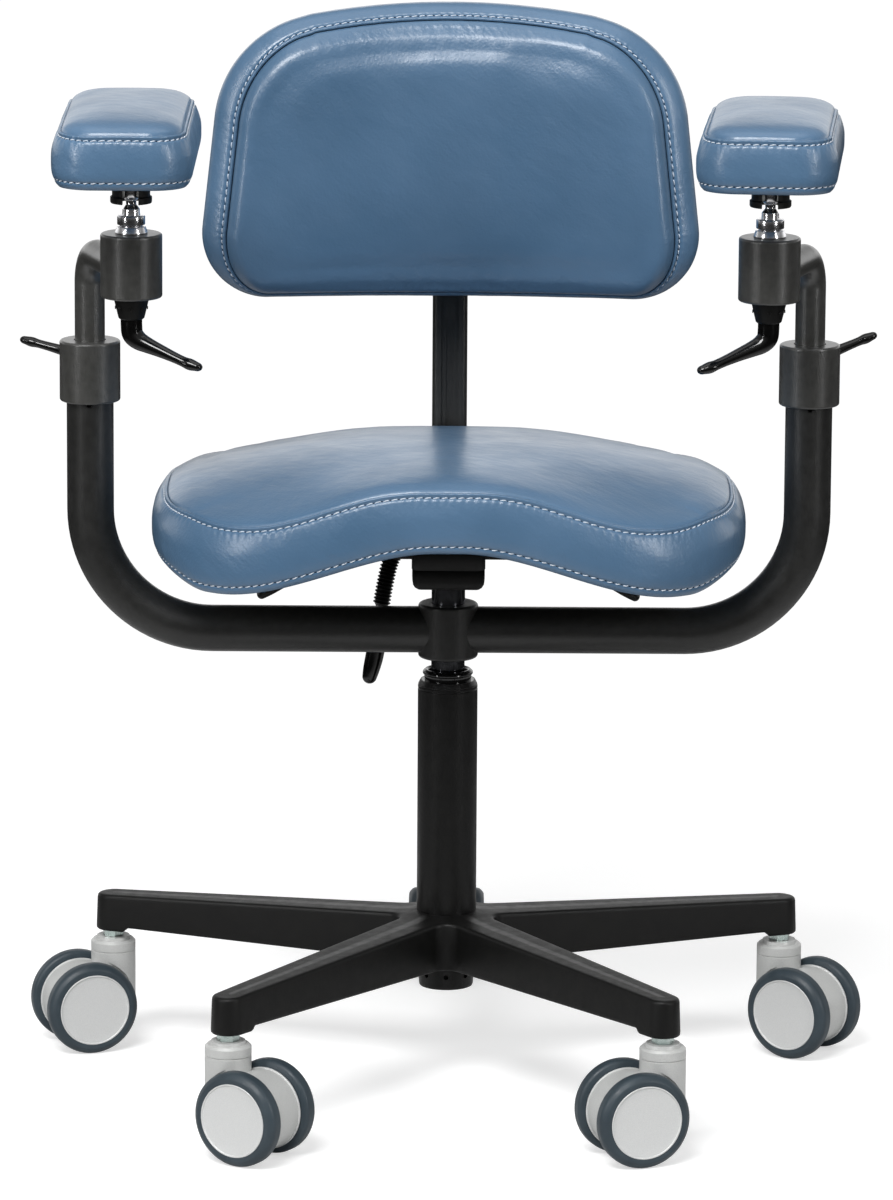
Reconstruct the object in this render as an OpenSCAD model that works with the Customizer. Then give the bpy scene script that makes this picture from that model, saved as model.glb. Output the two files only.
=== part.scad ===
// Dentist stool: five-leg base on twin-wheel casters, gas lift, saddle seat,
// backrest and a U-shaped arm bar with two adjustable arm pads.
// Millimetres. Origin on the floor under the column, +Z up, the sitter faces -Y.

/* [Base] */
// Distance from the column axis to each caster stem
base_r = 300; // [280:5:320]
// Height of the top of the base hub
hub_top = 145; // [142:1:148]
// Height of the underside of the base hub
hub_low = 101; // [99:0.5:103]
// Height of the underside of a leg's end
leg_end_low = 102; // [100:0.5:104]
// Height of the top of a leg's end
leg_end_top = 133.5; // [131:0.5:136]
// Width of a leg where it meets the hub
leg_root_w = 44; // [40:1:50]
// Diameter of a leg's round end
leg_end_d = 29; // [27:1:32]

/* [Casters] */
// Diameter of a caster wheel
wheel_d = 78.5; // [75:0.5:79]
// Width of a caster wheel
wheel_w = 16; // [14:0.5:16]
// Distance between the middles of the two wheels of a caster
wheel_gap = 50; // [44:1:52]
// Distance from the stem to the axle
trail = 26.5; // [25:0.5:28]
// Diameter of the swivel boss
boss_d = 38; // [36:1:40]
// Diameter of the caster stem
stem_d = 11; // [11]

/* [Column] */
// Diameter of the column tube
column_d = 50; // [49:1:51]
// Height of the top of the column tube
column_top = 342.7; // [340:0.1:344]
// Diameter of the gas cylinder
cylinder_d = 28; // [28]

/* [Arm bar] */
// Diameter of the arm bar tube
bar_d = 39; // [38:0.5:40]
// Height of the arm bar tube's axis
bar_z = 385; // [384:0.5:386]
// Distance from the column axis to each upright of the bar
bar_half = 298.5; // [296:0.5:300]
// Bend radius of the arm bar on its axis
bar_bend = 101; // [90:1:110]

/* [Arms] */
// Diameter of the collars and barrels
collar_d = 50.4; // [48:0.2:52]
// Diameter of the sliding arm tube
arm_d = 25; // [25]
// Sideways distance from the column axis to each barrel
barrel_x = 259; // [256:1:262]
// Forward distance from the column axis to each barrel
barrel_y = 110; // [106:1:114]

/* [Pads] */
// Width of an arm pad
pad_w = 114; // [110:1:118]
// Length of an arm pad
pad_l = 240; // [230:1:250]
// Thickness of an arm pad
pad_h = 50; // [46:1:54]

/* [Seat] */
// Width of the seat
seat_w = 492; // [480:2:496]
// Forward reach of the seat
seat_front = 200; // [190:1:205]
// Rearward reach of the seat
seat_rear = 190; // [180:1:192]
// Height of the seat's top at the middle
seat_ridge = 543; // [537:1:548]

/* [Back] */
// Half width of the backrest
back_half = 210.5; // [205:0.5:214]
// Height of the backrest's top
back_top = 890; // [882:1:894]
// Height of the backrest's lower edge
back_low = 640; // [634:1:642]

/* [Hidden] */
$fn = 64;

fit = 0.05;      // radial running clearance
eps = 0.01;      // overshoot of a cut

// Casters: name, angle of the leg, angle that the caster trails towards
CASTERS = [
    ["side_right", 18, 325], ["rear", 90, 90], ["side_left", 162, 200],
    ["front_left", 234, 327], ["front_right", 306, 201]
];
axle_z = wheel_d / 2;
axle_r = 4;
end_step = 4;        // step down from a leg's underside to its round end
ring_z = 83.7;       // seam under the swivel boss's cap
boss_top = 93;
nut_z = 96;

rod_r = 5;
cylinder_r = cylinder_d / 2;
cylinder_low = 110;
cylinder_top = 462;
valve_r = 3;

hub_z0 = 362;        // underside of the arm bar's hub
hub_z1 = 408;
hub_r = 25;
bar_wall = 2.5;
bush_wall = 4;
collar_z0 = 578;
collar_z1 = 629;
bar_end_z = 626;     // open end of each upright
slot_w = 3;          // saw cut that lets the bar's end close on its bush

arm_z = 704;         // height of the arm tube's level run
arm_bend = 27;
arm_low = 532;
// Plan distance and direction from a collar to its barrel
reach = norm([bar_half - barrel_x, barrel_y]);
arm_turn = atan2(-barrel_y, barrel_x - bar_half);
barrel_z0 = 683.5;
barrel_z1 = 736;
ball_z = 770;
ball_r = 8.5;
liner_r = 11;
neck_r = 4.2;
bracket_z0 = 761;
pad_z = 789.5;
pad_yaw_right = -4.5;
pad_shift_left = -3;  // the left pad is screwed on a little off the middle of its bracket

housing_half = 30.5;
housing_front = -60;
housing_rear = 112;
split_z = 447;
cover_z = 429.7;
housing_top = 470;
lever_y = -30;       // the two side levers leave the housing here
lever_z = 455;
hang_y = 46;         // the hanging back lever is behind the arm bar
pivot_y = 102;       // backrest hinge
pivot_z = 458;

bar_y0 = 203;        // front and rear faces of the backrest's upright
bar_y1 = 215;
upright_w = 30;
shell_t = 8;
back_bow = 22;       // how far the backrest's sides come forward
back_y = 189;        // rear of the back cushion at the middle
back_t = 57;

function arc(cx, cz, r, a0, a1, n = 6) =
    [for (i = [0:n]) let (a = a0 + (a1 - a0) * i / n) [cx + r * cos(a), cz + r * sin(a)]];

// Smooth step from 0 at a to 1 at b
function ease(a, b, x) = let (t = min(1, max(0, (x - a) / (b - a)))) t * t * (3 - 2 * t);

// Upper and lower faces of the saddle seat, at a distance x from its middle
function seat_low(x) = 489 - 40 * ease(10, 190, abs(x)) + 14 * ease(196, 246, abs(x));
function seat_high(x) = seat_ridge - 34 * ease(0, 200, abs(x)) - 22 * ease(205, 246, abs(x));

// A round bar with its edges rounded by e, standing on z0
module round_bar(r, z0, z1, e, bore = 0) {
    rotate_extrude()
        polygon(concat([[bore, z0]], arc(r - e, z0 + e, e, -90, 0), arc(r - e, z1 - e, e, 0, 90),
                       [[bore, z1]]));
}

module round_rect(w, l, r) {
    square([w - 2 * r, l], center = true);
    square([w, l - 2 * r], center = true);
    for (x = [-1, 1], y = [-1, 1]) translate([x * (w / 2 - r), y * (l / 2 - r)]) circle(r);
}

// ---------------------------------------------------------------- base
module leg() {
    // The underside rises outwards and steps down to the round end
    side = [[0, hub_low + 1], [60, hub_low + 1], [284, leg_end_low + end_step], [287, leg_end_low],
            [320, leg_end_low], [320, leg_end_top - 3], [300, leg_end_top], [0, hub_top - 2]];
    intersection() {
        translate([0, 40, 0]) rotate([90, 0, 0]) linear_extrude(80) polygon(side);
        translate([0, 0, hub_low - 5]) linear_extrude(60) {
            polygon([[0, -leg_root_w / 2], [base_r, 0.6 - leg_end_d / 2], [base_r, leg_end_d / 2 - 0.6],
                     [0, leg_root_w / 2]]);
            translate([base_r, 0]) circle(d = leg_end_d);
        }
    }
}

// The shallow hollow under a leg, which follows its sloping underside and is crossed by ribs
module leg_channel() {
    depth = 9;
    rib = 3;
    slope = atan((leg_end_low + end_step - hub_low - 1) / 224);
    translate([60, 0, hub_low + 1]) rotate([0, -slope, 0]) translate([0, 0, -5])
        difference() {
            linear_extrude(5 + depth) polygon([[3, -15], [203, -9], [203, 9], [3, 15]]);
            for (x = [52, 102, 152]) translate([x, -20, -1]) cube([rib, 40, 40]);
        }
}

module base_star() {
    color([0.09, 0.09, 0.09])
    difference() {
        union() {
            for (c = CASTERS) rotate(c[1]) leg();
            rotate_extrude()
                polygon([[0, hub_low], [42, hub_low], [42, hub_low + 28], [34, hub_top], [0, hub_top]]);
        }
        for (c = CASTERS) rotate(c[1]) {
            leg_channel();
            translate([base_r, 0, leg_end_low - eps]) cylinder(d = stem_d, h = 26);
        }
        column_outside();
    }
}

module column_outside() {
    rotate_extrude()
        polygon([[0, 79], [22.4, 79], [22.9, 81], [column_d / 2, 142], [column_d / 2, column_top - 4.2],
                 [22.8, column_top], [0, column_top]]);
}

module column_tube() {
    color([0.08, 0.08, 0.08])
    difference() {
        column_outside();
        translate([0, 0, 84.5]) cylinder(r = 22, h = column_top);
        translate([0, 0, 72]) cylinder(r = 20.5, h = 9.5);
        cylinder(r = rod_r + fit, h = 100);
        // Row of crimp holes near the tube's lower end
        for (a = [0:45:315])
            rotate(a) translate([19, 0, 90]) rotate([0, 90, 0]) cylinder(d = 4, h = 8, $fn = 24);
        // Grooves rolled into the tube's upper end
        for (z = [335.6, 338.4])
            rotate_extrude() translate([column_d / 2 + 0.2, z]) circle(r = 0.8, $fn = 16);
    }
}

module column_bush() {
    color([0.1, 0.1, 0.1])
    rotate_extrude()
        polygon(concat([[cylinder_r + fit, 282], [22, 282], [22, column_top], [19.6, column_top],
                        [19.6, 345.4]],
                       arc(18.9, 348.7, 2.1, -60, 60), arc(18.1, 349.6, 2.1, 60, 180),
                       [[16, 344.4], [cylinder_r + fit, 344.4]]));
}

module thrust_bearing() {
    color([0.7, 0.7, 0.7])
    difference() {
        translate([0, 0, 84.5]) cylinder(r = 13, h = 4.5);
        translate([0, 0, 82]) cylinder(r = rod_r + fit, h = 10);
    }
}

module caster_stems() {
    color([0.72, 0.74, 0.7])
    for (c = CASTERS) rotate(c[1]) translate([base_r, 0, 0]) {
        translate([0, 0, 58]) cylinder(d = stem_d, h = 69);
        translate([0, 0, nut_z]) cylinder(d = 18.6, h = leg_end_low - nut_z, $fn = 6);
    }
}

// ---------------------------------------------------------------- casters
module at_caster(c) {
    rotate(c[1]) translate([base_r, 0, 0]) rotate(c[2] - c[1]) children();
}

module across(y0, y1, r) {
    translate([trail, y0, axle_z]) rotate([-90, 0, 0]) cylinder(r = r, h = y1 - y0);
}

module caster_housing(c) {
    inner = wheel_gap / 2 - wheel_w / 2 - 0.5;
    r = boss_d / 2;
    color([0.78, 0.78, 0.77])
    at_caster(c) {
        difference() {
            union() {
                rotate_extrude()
                    polygon([[0, 42], [r, 42], [r, ring_z - 0.6], [r - 0.8, ring_z], [r, ring_z + 0.6],
                             [r, boss_top - 2], [r - 2, boss_top], [14.5, boss_top], [14, boss_top + 2.6],
                             [0, boss_top + 2.6]]);
                across(-inner, inner, 33);
                translate([0, -inner, 42]) cube([trail, 2 * inner, 24]);
            }
            for (s = [-1, 1]) scale([1, s, 1]) across(inner, inner + 30, wheel_d / 2 + 1.2);
            translate([0, 0, 52]) cylinder(d = stem_d + 2 * fit, h = 50);
        }
        across(-wheel_gap / 2 - 4, wheel_gap / 2 + 4, axle_r);
    }
}

// side is -1 or 1: which end of the axle the wheel is on
module caster_wheel(c, side) {
    at_caster(c)
    translate([trail, side * (wheel_gap - wheel_w) / 2, axle_z])
    rotate([-90 * side, 0, 0]) {
        color([0.8, 0.8, 0.79])
        rotate_extrude()
            polygon([[axle_r + fit, 0], [30.5, 0], [30.5, wheel_w], [29.6, wheel_w + 0.4], [29, wheel_w],
                     [0, wheel_w], [0, wheel_w - 3.5], [axle_r + fit, wheel_w - 3.5]]);
        color([0.27, 0.31, 0.35])
        rotate_extrude()
            polygon(concat([[30.5, 0.6]], arc(wheel_d / 2 - 5, 5.6, 5, -90, 0),
                           arc(wheel_d / 2 - 7, wheel_w - 7, 7, 0, 90), [[30.5, wheel_w]]));
    }
}

// ---------------------------------------------------------------- lift
module piston_rod() {
    color([0.75, 0.75, 0.76]) {
        translate([0, 0, 79.4]) cylinder(r = rod_r, h = 184);
        translate([0, 0, 79.4]) cylinder(r = 8, h = 2);
        translate([0, 0, 89.05]) cylinder(r = 9, h = 3);
        translate([0, 0, 254]) cylinder(r = 11.45, h = 10);
    }
}

module cylinder_outside() {
    rotate_extrude()
        polygon([[0, cylinder_low], [cylinder_r - 1, cylinder_low], [cylinder_r, cylinder_low + 1],
                 [cylinder_r, split_z], [13.2, cylinder_top], [0, cylinder_top]]);
}

module gas_cylinder() {
    color([0.25, 0.25, 0.26])
    difference() {
        cylinder_outside();
        translate([0, 0, cylinder_low + 8]) cylinder(r = 11.5, h = 294);
        translate([0, 0, cylinder_low - 1]) cylinder(r = rod_r + fit, h = 12);
        translate([0, 0, 432]) cylinder(r = valve_r + fit, h = 40);
    }
}

module release_pin() {
    color([0.75, 0.75, 0.76]) translate([0, 0, 437]) cylinder(r = valve_r, h = 28);
}

module arm_bar_bush() {
    color([0.12, 0.12, 0.12])
    difference() {
        translate([0, 0, hub_z0 + 2]) cylinder(r = cylinder_r + bush_wall, h = 40);
        cylinder(r = cylinder_r, h = 500);
    }
}

// ---------------------------------------------------------------- mechanism
module housing_plan(grow = 0) {
    mid = (housing_front + housing_rear) / 2;
    translate([0, mid]) round_rect(2 * (housing_half + grow), housing_rear - housing_front + 2 * grow, 8);
}

module mech_housing() {
    color([0.1, 0.1, 0.1])
    difference() {
        translate([0, 0, split_z]) linear_extrude(housing_top - split_z) housing_plan();
        cylinder_outside();
        translate([0, 0, cylinder_top - eps]) cylinder(r = 10, h = 10);
        translate([-25, -54, split_z - eps]) cube([50, 34, 20]);
        translate([-25, 20, split_z - eps]) cube([50, 60, 20]);
        // Gap between the ears that hold the backrest hinge
        translate([-15.5, 88, split_z - eps]) cube([31, 40, 40]);
        translate([-40, pivot_y, pivot_z]) rotate([0, 90, 0]) cylinder(r = 4, h = 80);
        // Windows that the three levers pass through
        translate([-40, lever_y - 6, split_z]) cube([80, 12, 16]);
        translate([-40, hang_y - 6, split_z]) cube([30, 12, 16]);
    }
}

module mech_cover() {
    color([0.11, 0.11, 0.11])
    difference() {
        hull() {
            translate([0, 0, cover_z + 5]) linear_extrude(split_z - cover_z - 5) housing_plan(-1);
            translate([0, 0, cover_z]) linear_extrude(5) housing_plan(-5);
        }
        translate([-24.5, -53, cover_z + 3]) cube([49, 34, 20]);
        translate([-24.5, 19, cover_z + 3]) cube([49, 62, 20]);
        translate([-15.5, 88, cover_z - 1]) cube([31, 40, 40]);
        cylinder(r = cylinder_r, h = 500);
    }
}

module back_pin() {
    color([0.7, 0.7, 0.7])
    translate([-housing_half, pivot_y, pivot_z]) rotate([0, 90, 0]) cylinder(r = 4, h = 2 * housing_half);
}

// A rod of radius r through a list of points, one hull between each pair
module bent_rod(points, r) {
    for (i = [0:len(points) - 2]) hull() {
        translate(points[i]) sphere(r = r, $fn = 16);
        translate(points[i + 1]) sphere(r = r, $fn = 16);
    }
}

// A side lever: its rod leaves the housing level and turns down to a flat paddle
module side_lever() {
    rod = 4;
    translate([0, lever_y, lever_z]) {
        bent_rod([[20, 0, 0], [78, 0, 0], [94, 0, -2], [109, 0, -8], [132, 0, -21]], rod);
        hull() {
            translate([132, 0, -21]) sphere(r = 4.5, $fn = 16);
            for (y = [-6, 6]) translate([156, y, -35]) sphere(r = 5, $fn = 16);
        }
    }
}

module lift_lever() { color([0.07, 0.07, 0.07]) side_lever(); }
module tilt_lever() { color([0.07, 0.07, 0.07]) mirror([1, 0, 0]) side_lever(); }

bellows_r = 27;      // bend of the hanging lever
bellows_x = -33;     // where its bellows starts
bellows_pitch = 3.1;

module back_lever() {
    tip_x = bellows_x - bellows_r;
    color([0.05, 0.05, 0.05]) {
        translate([-20, hang_y, lever_z]) rotate([0, -90, 0]) cylinder(r = 4, h = 13);
        translate([bellows_x, hang_y, lever_z - bellows_r]) rotate([90, 0, 0]) rotate(90)
            rotate_extrude(angle = 90) translate([bellows_r, 0]) circle(4, $fn = 24);
        translate([tip_x, hang_y, 372]) cylinder(r = 4, h = lever_z - bellows_r - 372);
        hull() {
            translate([tip_x, hang_y, 374]) cylinder(r = 5.5, h = 3, $fn = 24);
            translate([tip_x, hang_y, 354]) scale([1.35, 1, 1]) sphere(r = 7, $fn = 24);
            translate([tip_x - 2, hang_y, 335]) sphere(r = 7, $fn = 24);
        }
    }
}

module lever_bellows() {
    tip_x = bellows_x - bellows_r;
    straight = 22;
    bend_z = lever_z - bellows_r;
    n_bend = floor(bellows_r * PI / 2 / bellows_pitch);
    color([0.06, 0.06, 0.06])
    difference() {
        union() {
            translate([bellows_x, hang_y, bend_z]) rotate([90, 0, 0]) rotate(90)
                rotate_extrude(angle = 90) translate([bellows_r, 0]) circle(6.2, $fn = 32);
            translate([tip_x, hang_y, bend_z - straight]) cylinder(r = 6.2, h = straight);
            for (i = [0:n_bend])
                translate([bellows_x, hang_y, bend_z]) rotate([0, -90 * i / n_bend, 0])
                    translate([0, 0, bellows_r]) rotate([0, 90, 0])
                    cylinder(r = 7.5, h = 1.5, center = true, $fn = 32);
            for (z = [bellows_pitch:bellows_pitch:straight])
                translate([tip_x, hang_y, bend_z - z]) cylinder(r = 7.5, h = 1.5, $fn = 32);
        }
        translate([bellows_x, hang_y, bend_z]) rotate([90, 0, 0]) rotate(90)
            rotate_extrude(angle = 90) translate([bellows_r, 0]) circle(4, $fn = 24);
        translate([bellows_x + 5, hang_y, lever_z]) rotate([0, -90, 0]) cylinder(r = 4, h = 5.01, $fn = 24);
        translate([tip_x, hang_y, bend_z - straight - 2]) cylinder(r = 4, h = straight + 2.01, $fn = 24);
    }
}

// ---------------------------------------------------------------- seat
module seat_plan(inset) {
    translate([0, (seat_rear - seat_front) / 2])
        round_rect(seat_w - 2 * inset, seat_rear + seat_front - 2 * inset, 120 - inset / 2);
}

module seat_cushion() {
    half = seat_w / 2;
    n = 24;
    xs = [for (i = [-n:n]) half * i / n];
    color([0.3, 0.45, 0.6])
    intersection() {
        translate([0, seat_rear + 10, 0]) rotate([90, 0, 0])
            linear_extrude(seat_front + seat_rear + 20)
            polygon(concat([for (x = xs) [x, seat_low(x)]],
                           [for (i = [0:2 * n]) [xs[2 * n - i], seat_high(xs[2 * n - i])]]));
        translate([0, 0, 400]) linear_extrude(200) seat_plan(0);
    }
}

module seat_pan() {
    step = seat_w / 48;  // as in the cushion, so that the two faces lie together
    n = 20;
    flat = 45;           // half width of the pan's flat pad on the housing
    t = 9;
    color([0.12, 0.12, 0.12])
    intersection() {
        translate([0, 160, 0]) rotate([90, 0, 0])
            linear_extrude(320)
            polygon(concat([for (i = [-n:n]) let (x = step * i) [x, seat_low(x)]],
                           [for (i = [-n:n]) let (x = -step * i)
                               [x, abs(x) < flat ? housing_top : seat_low(x) - t]]));
        translate([0, 0, 400]) linear_extrude(200) seat_plan(34);
    }
}

// ---------------------------------------------------------------- back
module back_carrier() {
    wall = 5;
    w = upright_w + 2 * wall;
    color([0.1, 0.1, 0.1])
    difference() {
        union() {
            translate([-15, pivot_y, pivot_z]) rotate([0, 90, 0]) cylinder(r = 9, h = 30);
            translate([-15, pivot_y, pivot_z - 9]) cube([30, bar_y0 - wall - pivot_y + 1, 14]);
            translate([-w / 2, bar_y0 - wall, 432]) cube([w, bar_y1 - bar_y0 + 2 * wall, 80]);
        }
        translate([-20, pivot_y, pivot_z]) rotate([0, 90, 0]) cylinder(r = 4 + fit, h = 40);
        translate([0, (bar_y0 + bar_y1) / 2, 422]) linear_extrude(100)
            round_rect(upright_w + 0.4, bar_y1 - bar_y0 + 0.4, 5);
        translate([0, bar_y1, 490]) rotate([-90, 0, 0]) cylinder(r = 4 + fit, h = 20);
    }
}

// A flat bar with a wide groove down its front and a narrower one in that, up to where the knob stops
module back_upright() {
    groove = 15;
    inner = 6.5;
    color([0.09, 0.09, 0.09])
    difference() {
        translate([0, (bar_y0 + bar_y1) / 2, 424]) linear_extrude(360)
            round_rect(upright_w, bar_y1 - bar_y0, 4.8);
        translate([-groove / 2, bar_y0 - 1, 423]) cube([groove, 4.5, 362]);
        translate([-inner / 2, bar_y0 - 1, 423]) cube([inner, 7.5, 189]);
    }
}

module back_knob() {
    lobes = 6;
    color([0.07, 0.07, 0.07])
    translate([0, 0, 490]) {
        translate([0, bar_y1 + 0.6, 0]) rotate([-90, 0, 0]) cylinder(r = 4, h = 12);
        translate([0, bar_y1 + 6, 0]) rotate([-90, 0, 0]) cylinder(r = 11, h = 8);
        translate([0, bar_y1 + 12, 0]) rotate([-90, 0, 0]) {
            cylinder(r = 16, h = 14);
            for (a = [0:360 / lobes:359]) rotate(a) translate([15, 0, 0]) cylinder(r = 5, h = 14, $fn = 24);
        }
    }
}

module back_bracket() {
    color([0.1, 0.1, 0.1])
    translate([0, bar_y0, 737]) rotate([90, 0, 0])
        linear_extrude(bar_y0 - back_y - shell_t) round_rect(64, 90, 12);
}

// Outline of the backrest in the X-Z plane, set in by inset
module back_outline(inset) {
    r_low = 56;
    r_top = 95;
    r_crown = 200;
    drop = 8.5;      // of the top corners, inwards and down from the full width and height
    hull() {
        for (s = [-1, 1]) {
            translate([s * (back_half - r_low), back_low + r_low]) circle(r_low - inset, $fn = 48);
            translate([s * (back_half - r_top - drop), back_top - r_top - drop])
                circle(r_top - inset, $fn = 72);
        }
        translate([0, back_top - r_crown]) intersection() {
            circle(r_crown - inset, $fn = 144);
            translate([-70, r_crown - 24]) square([140, 30]);
        }
    }
}

// A sheet of thickness t whose rear is at y in the middle and whose sides come forward
module bowed(y, t) {
    n = 12;
    half = back_half + 10;
    function bow(x) = back_bow * pow(x / back_half, 2);
    translate([0, 0, 592]) linear_extrude(340)
        polygon(concat([for (i = [-n:n]) let (x = half * i / n) [x, y - t - bow(x)]],
                       [for (i = [-n:n]) let (x = -half * i / n) [x, y - bow(x)]]));
}

module back_cushion() {
    color([0.3, 0.45, 0.6])
    intersection() {
        bowed(back_y, back_t);
        translate([0, 260, 0]) rotate([90, 0, 0]) linear_extrude(200) back_outline(0);
    }
}

module back_shell() {
    color([0.12, 0.12, 0.12])
    intersection() {
        bowed(back_y + shell_t, shell_t);
        translate([0, 260, 0]) rotate([90, 0, 0]) linear_extrude(200) back_outline(10);
    }
}

// ---------------------------------------------------------------- arm bar
// One half of the bar's tube, as a solid of radius r
module bar_half_tube(r) {
    run = bar_half - bar_bend;
    translate([0, 0, bar_z]) rotate([0, 90, 0]) cylinder(r = r, h = run);
    translate([run, 0, bar_z + bar_bend]) rotate([90, 0, 0]) rotate(-90)
        rotate_extrude(angle = 90) translate([bar_bend, 0]) circle(r);
    translate([bar_half, 0, bar_z + bar_bend]) cylinder(r = r, h = bar_end_z - bar_z - bar_bend);
}

module arm_bar() {
    color([0.08, 0.08, 0.08])
    difference() {
        union() {
            for (s = [0, 1]) mirror([s, 0, 0]) bar_half_tube(bar_d / 2);
            round_bar(hub_r, hub_z0, hub_z1, 2.5);
        }
        difference() {
            for (s = [0, 1]) mirror([s, 0, 0]) {
                bar_half_tube(bar_d / 2 - bar_wall);
                translate([bar_half, 0, bar_end_z - 1]) cylinder(r = bar_d / 2 - bar_wall, h = 2);
            }
            cylinder(r = hub_r - 0.5, h = 500);
        }
        translate([0, 0, hub_z0 - 1]) cylinder(r = cylinder_r + bush_wall + fit, h = 43);
        cylinder(r = cylinder_r + 0.4, h = 500);
        for (x = [-bar_half, bar_half]) {
            translate([x - slot_w / 2, -bar_d, collar_z0 - 1]) cube([slot_w, bar_d, 60]);
            translate([x, 0, collar_z0 - 1]) rotate([90, 0, 0]) cylinder(r = 2.2, h = bar_d, $fn = 24);
        }
    }
}

// ---------------------------------------------------------------- arms
// s is -1 for the left arm and 1 for the right arm
module at_side(s) { scale([s, 1, 1]) children(); }

module collar(s) {
    color([0.08, 0.08, 0.08])
    translate([s * bar_half, 0, 0])
    difference() {
        round_bar(collar_d / 2, collar_z0, collar_z1, 2);
        translate([0, 0, collar_z0 - 1]) cylinder(r = bar_d / 2, h = bar_end_z + 0.4 - collar_z0 + 1);
        translate([0, 0, collar_z0]) cylinder(r = arm_d / 2 + 0.8, h = 60);
        translate([0, 10, 604]) rotate([-90, 0, 0]) cylinder(r = 4 + fit, h = 30);
    }
}

module collar_bush(s) {
    color([0.15, 0.15, 0.15])
    translate([s * bar_half, 0, 0])
    difference() {
        translate([0, 0, 570]) cylinder(r = bar_d / 2 - bar_wall - fit, h = bar_end_z - 570);
        translate([0, 0, 562]) cylinder(r = arm_d / 2 + fit, h = 80);
    }
}

module arm_tube(s) {
    color([0.08, 0.08, 0.08])
    mirror([s < 0 ? 1 : 0, 0, 0])
    translate([bar_half, 0, 0]) rotate(arm_turn)
    difference() {
        union() {
            translate([0, 0, arm_low]) cylinder(d = arm_d, h = arm_z - arm_bend - arm_low);
            translate([arm_bend, 0, arm_z - arm_bend]) rotate([90, 0, 0]) rotate(90)
                rotate_extrude(angle = 90) translate([arm_bend, 0]) circle(d = arm_d);
            translate([arm_bend, 0, arm_z]) rotate([0, 90, 0]) cylinder(d = arm_d, h = reach - arm_bend);
            translate([reach, 0, 0]) round_bar(collar_d / 2, barrel_z0, barrel_z1, 2);
        }
        translate([0, 0, arm_low - 1]) cylinder(d = arm_d - 4, h = arm_z - arm_bend - arm_low);
        translate([reach, 0, 717]) cylinder(r = 6 + fit, h = 30);
        translate([reach, 0, barrel_z0 - 1]) cylinder(r = 4 + fit, h = 18);
    }
}

module barrel_at(s) { translate([s * barrel_x, -barrel_y, 0]) children(); }

// A clamp lever under the barrel: stud, cone, neck and a cranked handle
module barrel_lever(s) {
    color([0.05, 0.05, 0.05])
    barrel_at(s) scale([-s, 1, 1]) {
        translate([0, 0, 672]) cylinder(r = 4, h = 26);
        rotate_extrude()
            polygon([[0, 644], [8, 644], [9, 646], [9, 665], [10.5, 667], [14.5, 683], [0, 683]]);
        rotate(-19) hull() {
            translate([4, 0, 652]) sphere(r = 7.5, $fn = 24);
            translate([22, 0, 642]) sphere(r = 6, $fn = 24);
        }
        rotate(-19) hull() {
            translate([22, 0, 642]) sphere(r = 6, $fn = 24);
            translate([56, 0, 631]) sphere(r = 4.8, $fn = 24);
        }
    }
}

// A clamp lever behind the collar: stud, hub and a handle that points outwards
module collar_lever(s) {
    tilt = s < 0 ? 13 : 21;
    color([0.05, 0.05, 0.05])
    translate([s * bar_half, 0, 604]) scale([s, 1, 1]) {
        translate([0, bar_d / 2 + 0.3, 0]) rotate([-90, 0, 0]) cylinder(r = 4, h = 12);
        translate([0, collar_d / 2 + 0.5, 0]) rotate([-90, 0, 0]) cylinder(r1 = 10, r2 = 8.5, h = 24);
        rotate([0, -tilt, 0]) hull() {
            translate([2, 44, 0]) sphere(r = 7, $fn = 24);
            translate([20, 54, 0]) sphere(r = 5.5, $fn = 24);
        }
        rotate([0, -tilt, 0]) hull() {
            translate([20, 54, 0]) sphere(r = 5.5, $fn = 24);
            translate([57, 61, 0]) sphere(r = 4.8, $fn = 24);
        }
    }
}

module ball_stud(s) {
    color([0.82, 0.82, 0.83])
    barrel_at(s) {
        translate([0, 0, 720]) cylinder(r = 6, h = 17);
        rotate_extrude()
            polygon([[0, barrel_z1 + 0.05], [13.5, barrel_z1 + 0.05], [12, 741], [11.5, 741.6],
                     [11.5, 750.4], [10.8, 751], [7, 751], [7, 756], [neck_r, 760], [neck_r, ball_z],
                     [0, ball_z]]);
        translate([0, 0, ball_z]) sphere(r = ball_r, $fn = 48);
    }
}

module ball_liner(s) {
    color([0.85, 0.85, 0.83])
    barrel_at(s)
    difference() {
        intersection() {
            translate([0, 0, ball_z]) sphere(r = liner_r, $fn = 48);
            translate([-20, -20, ball_z - 5.5]) cube([40, 40, 13]);
        }
        translate([0, 0, ball_z]) sphere(r = ball_r + fit, $fn = 48);
        translate([-7.5, -40, ball_z - 12]) cube([15, 40, 17]);
    }
}

module pad_bracket(s) {
    color([0.1, 0.1, 0.1])
    barrel_at(s)
    rotate(s > 0 ? pad_yaw_right : 0)
    difference() {
        rotate_extrude()
            polygon([[0, bracket_z0], [16.5, bracket_z0], [17, bracket_z0 + 1], [17, 766], [15.5, 767],
                     [15.5, 772], [19, pad_z - 3], [27, pad_z - 2.5], [27, pad_z], [0, pad_z]]);
        translate([0, 0, ball_z]) sphere(r = liner_r + fit, $fn = 48);
        translate([0, 0, bracket_z0 - eps]) cylinder(r1 = 9.6, r2 = 8.6, h = 5);
        translate([-6.5, -40, bracket_z0 - 1]) cube([13, 40, 12.5]);
    }
}

module arm_pad(s) {
    color([0.3, 0.45, 0.6])
    barrel_at(s) rotate(s > 0 ? pad_yaw_right : 0)
    translate([s > 0 ? 0 : pad_shift_left, 0, pad_z]) linear_extrude(pad_h) round_rect(pad_w, pad_l, 34);
}

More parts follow.
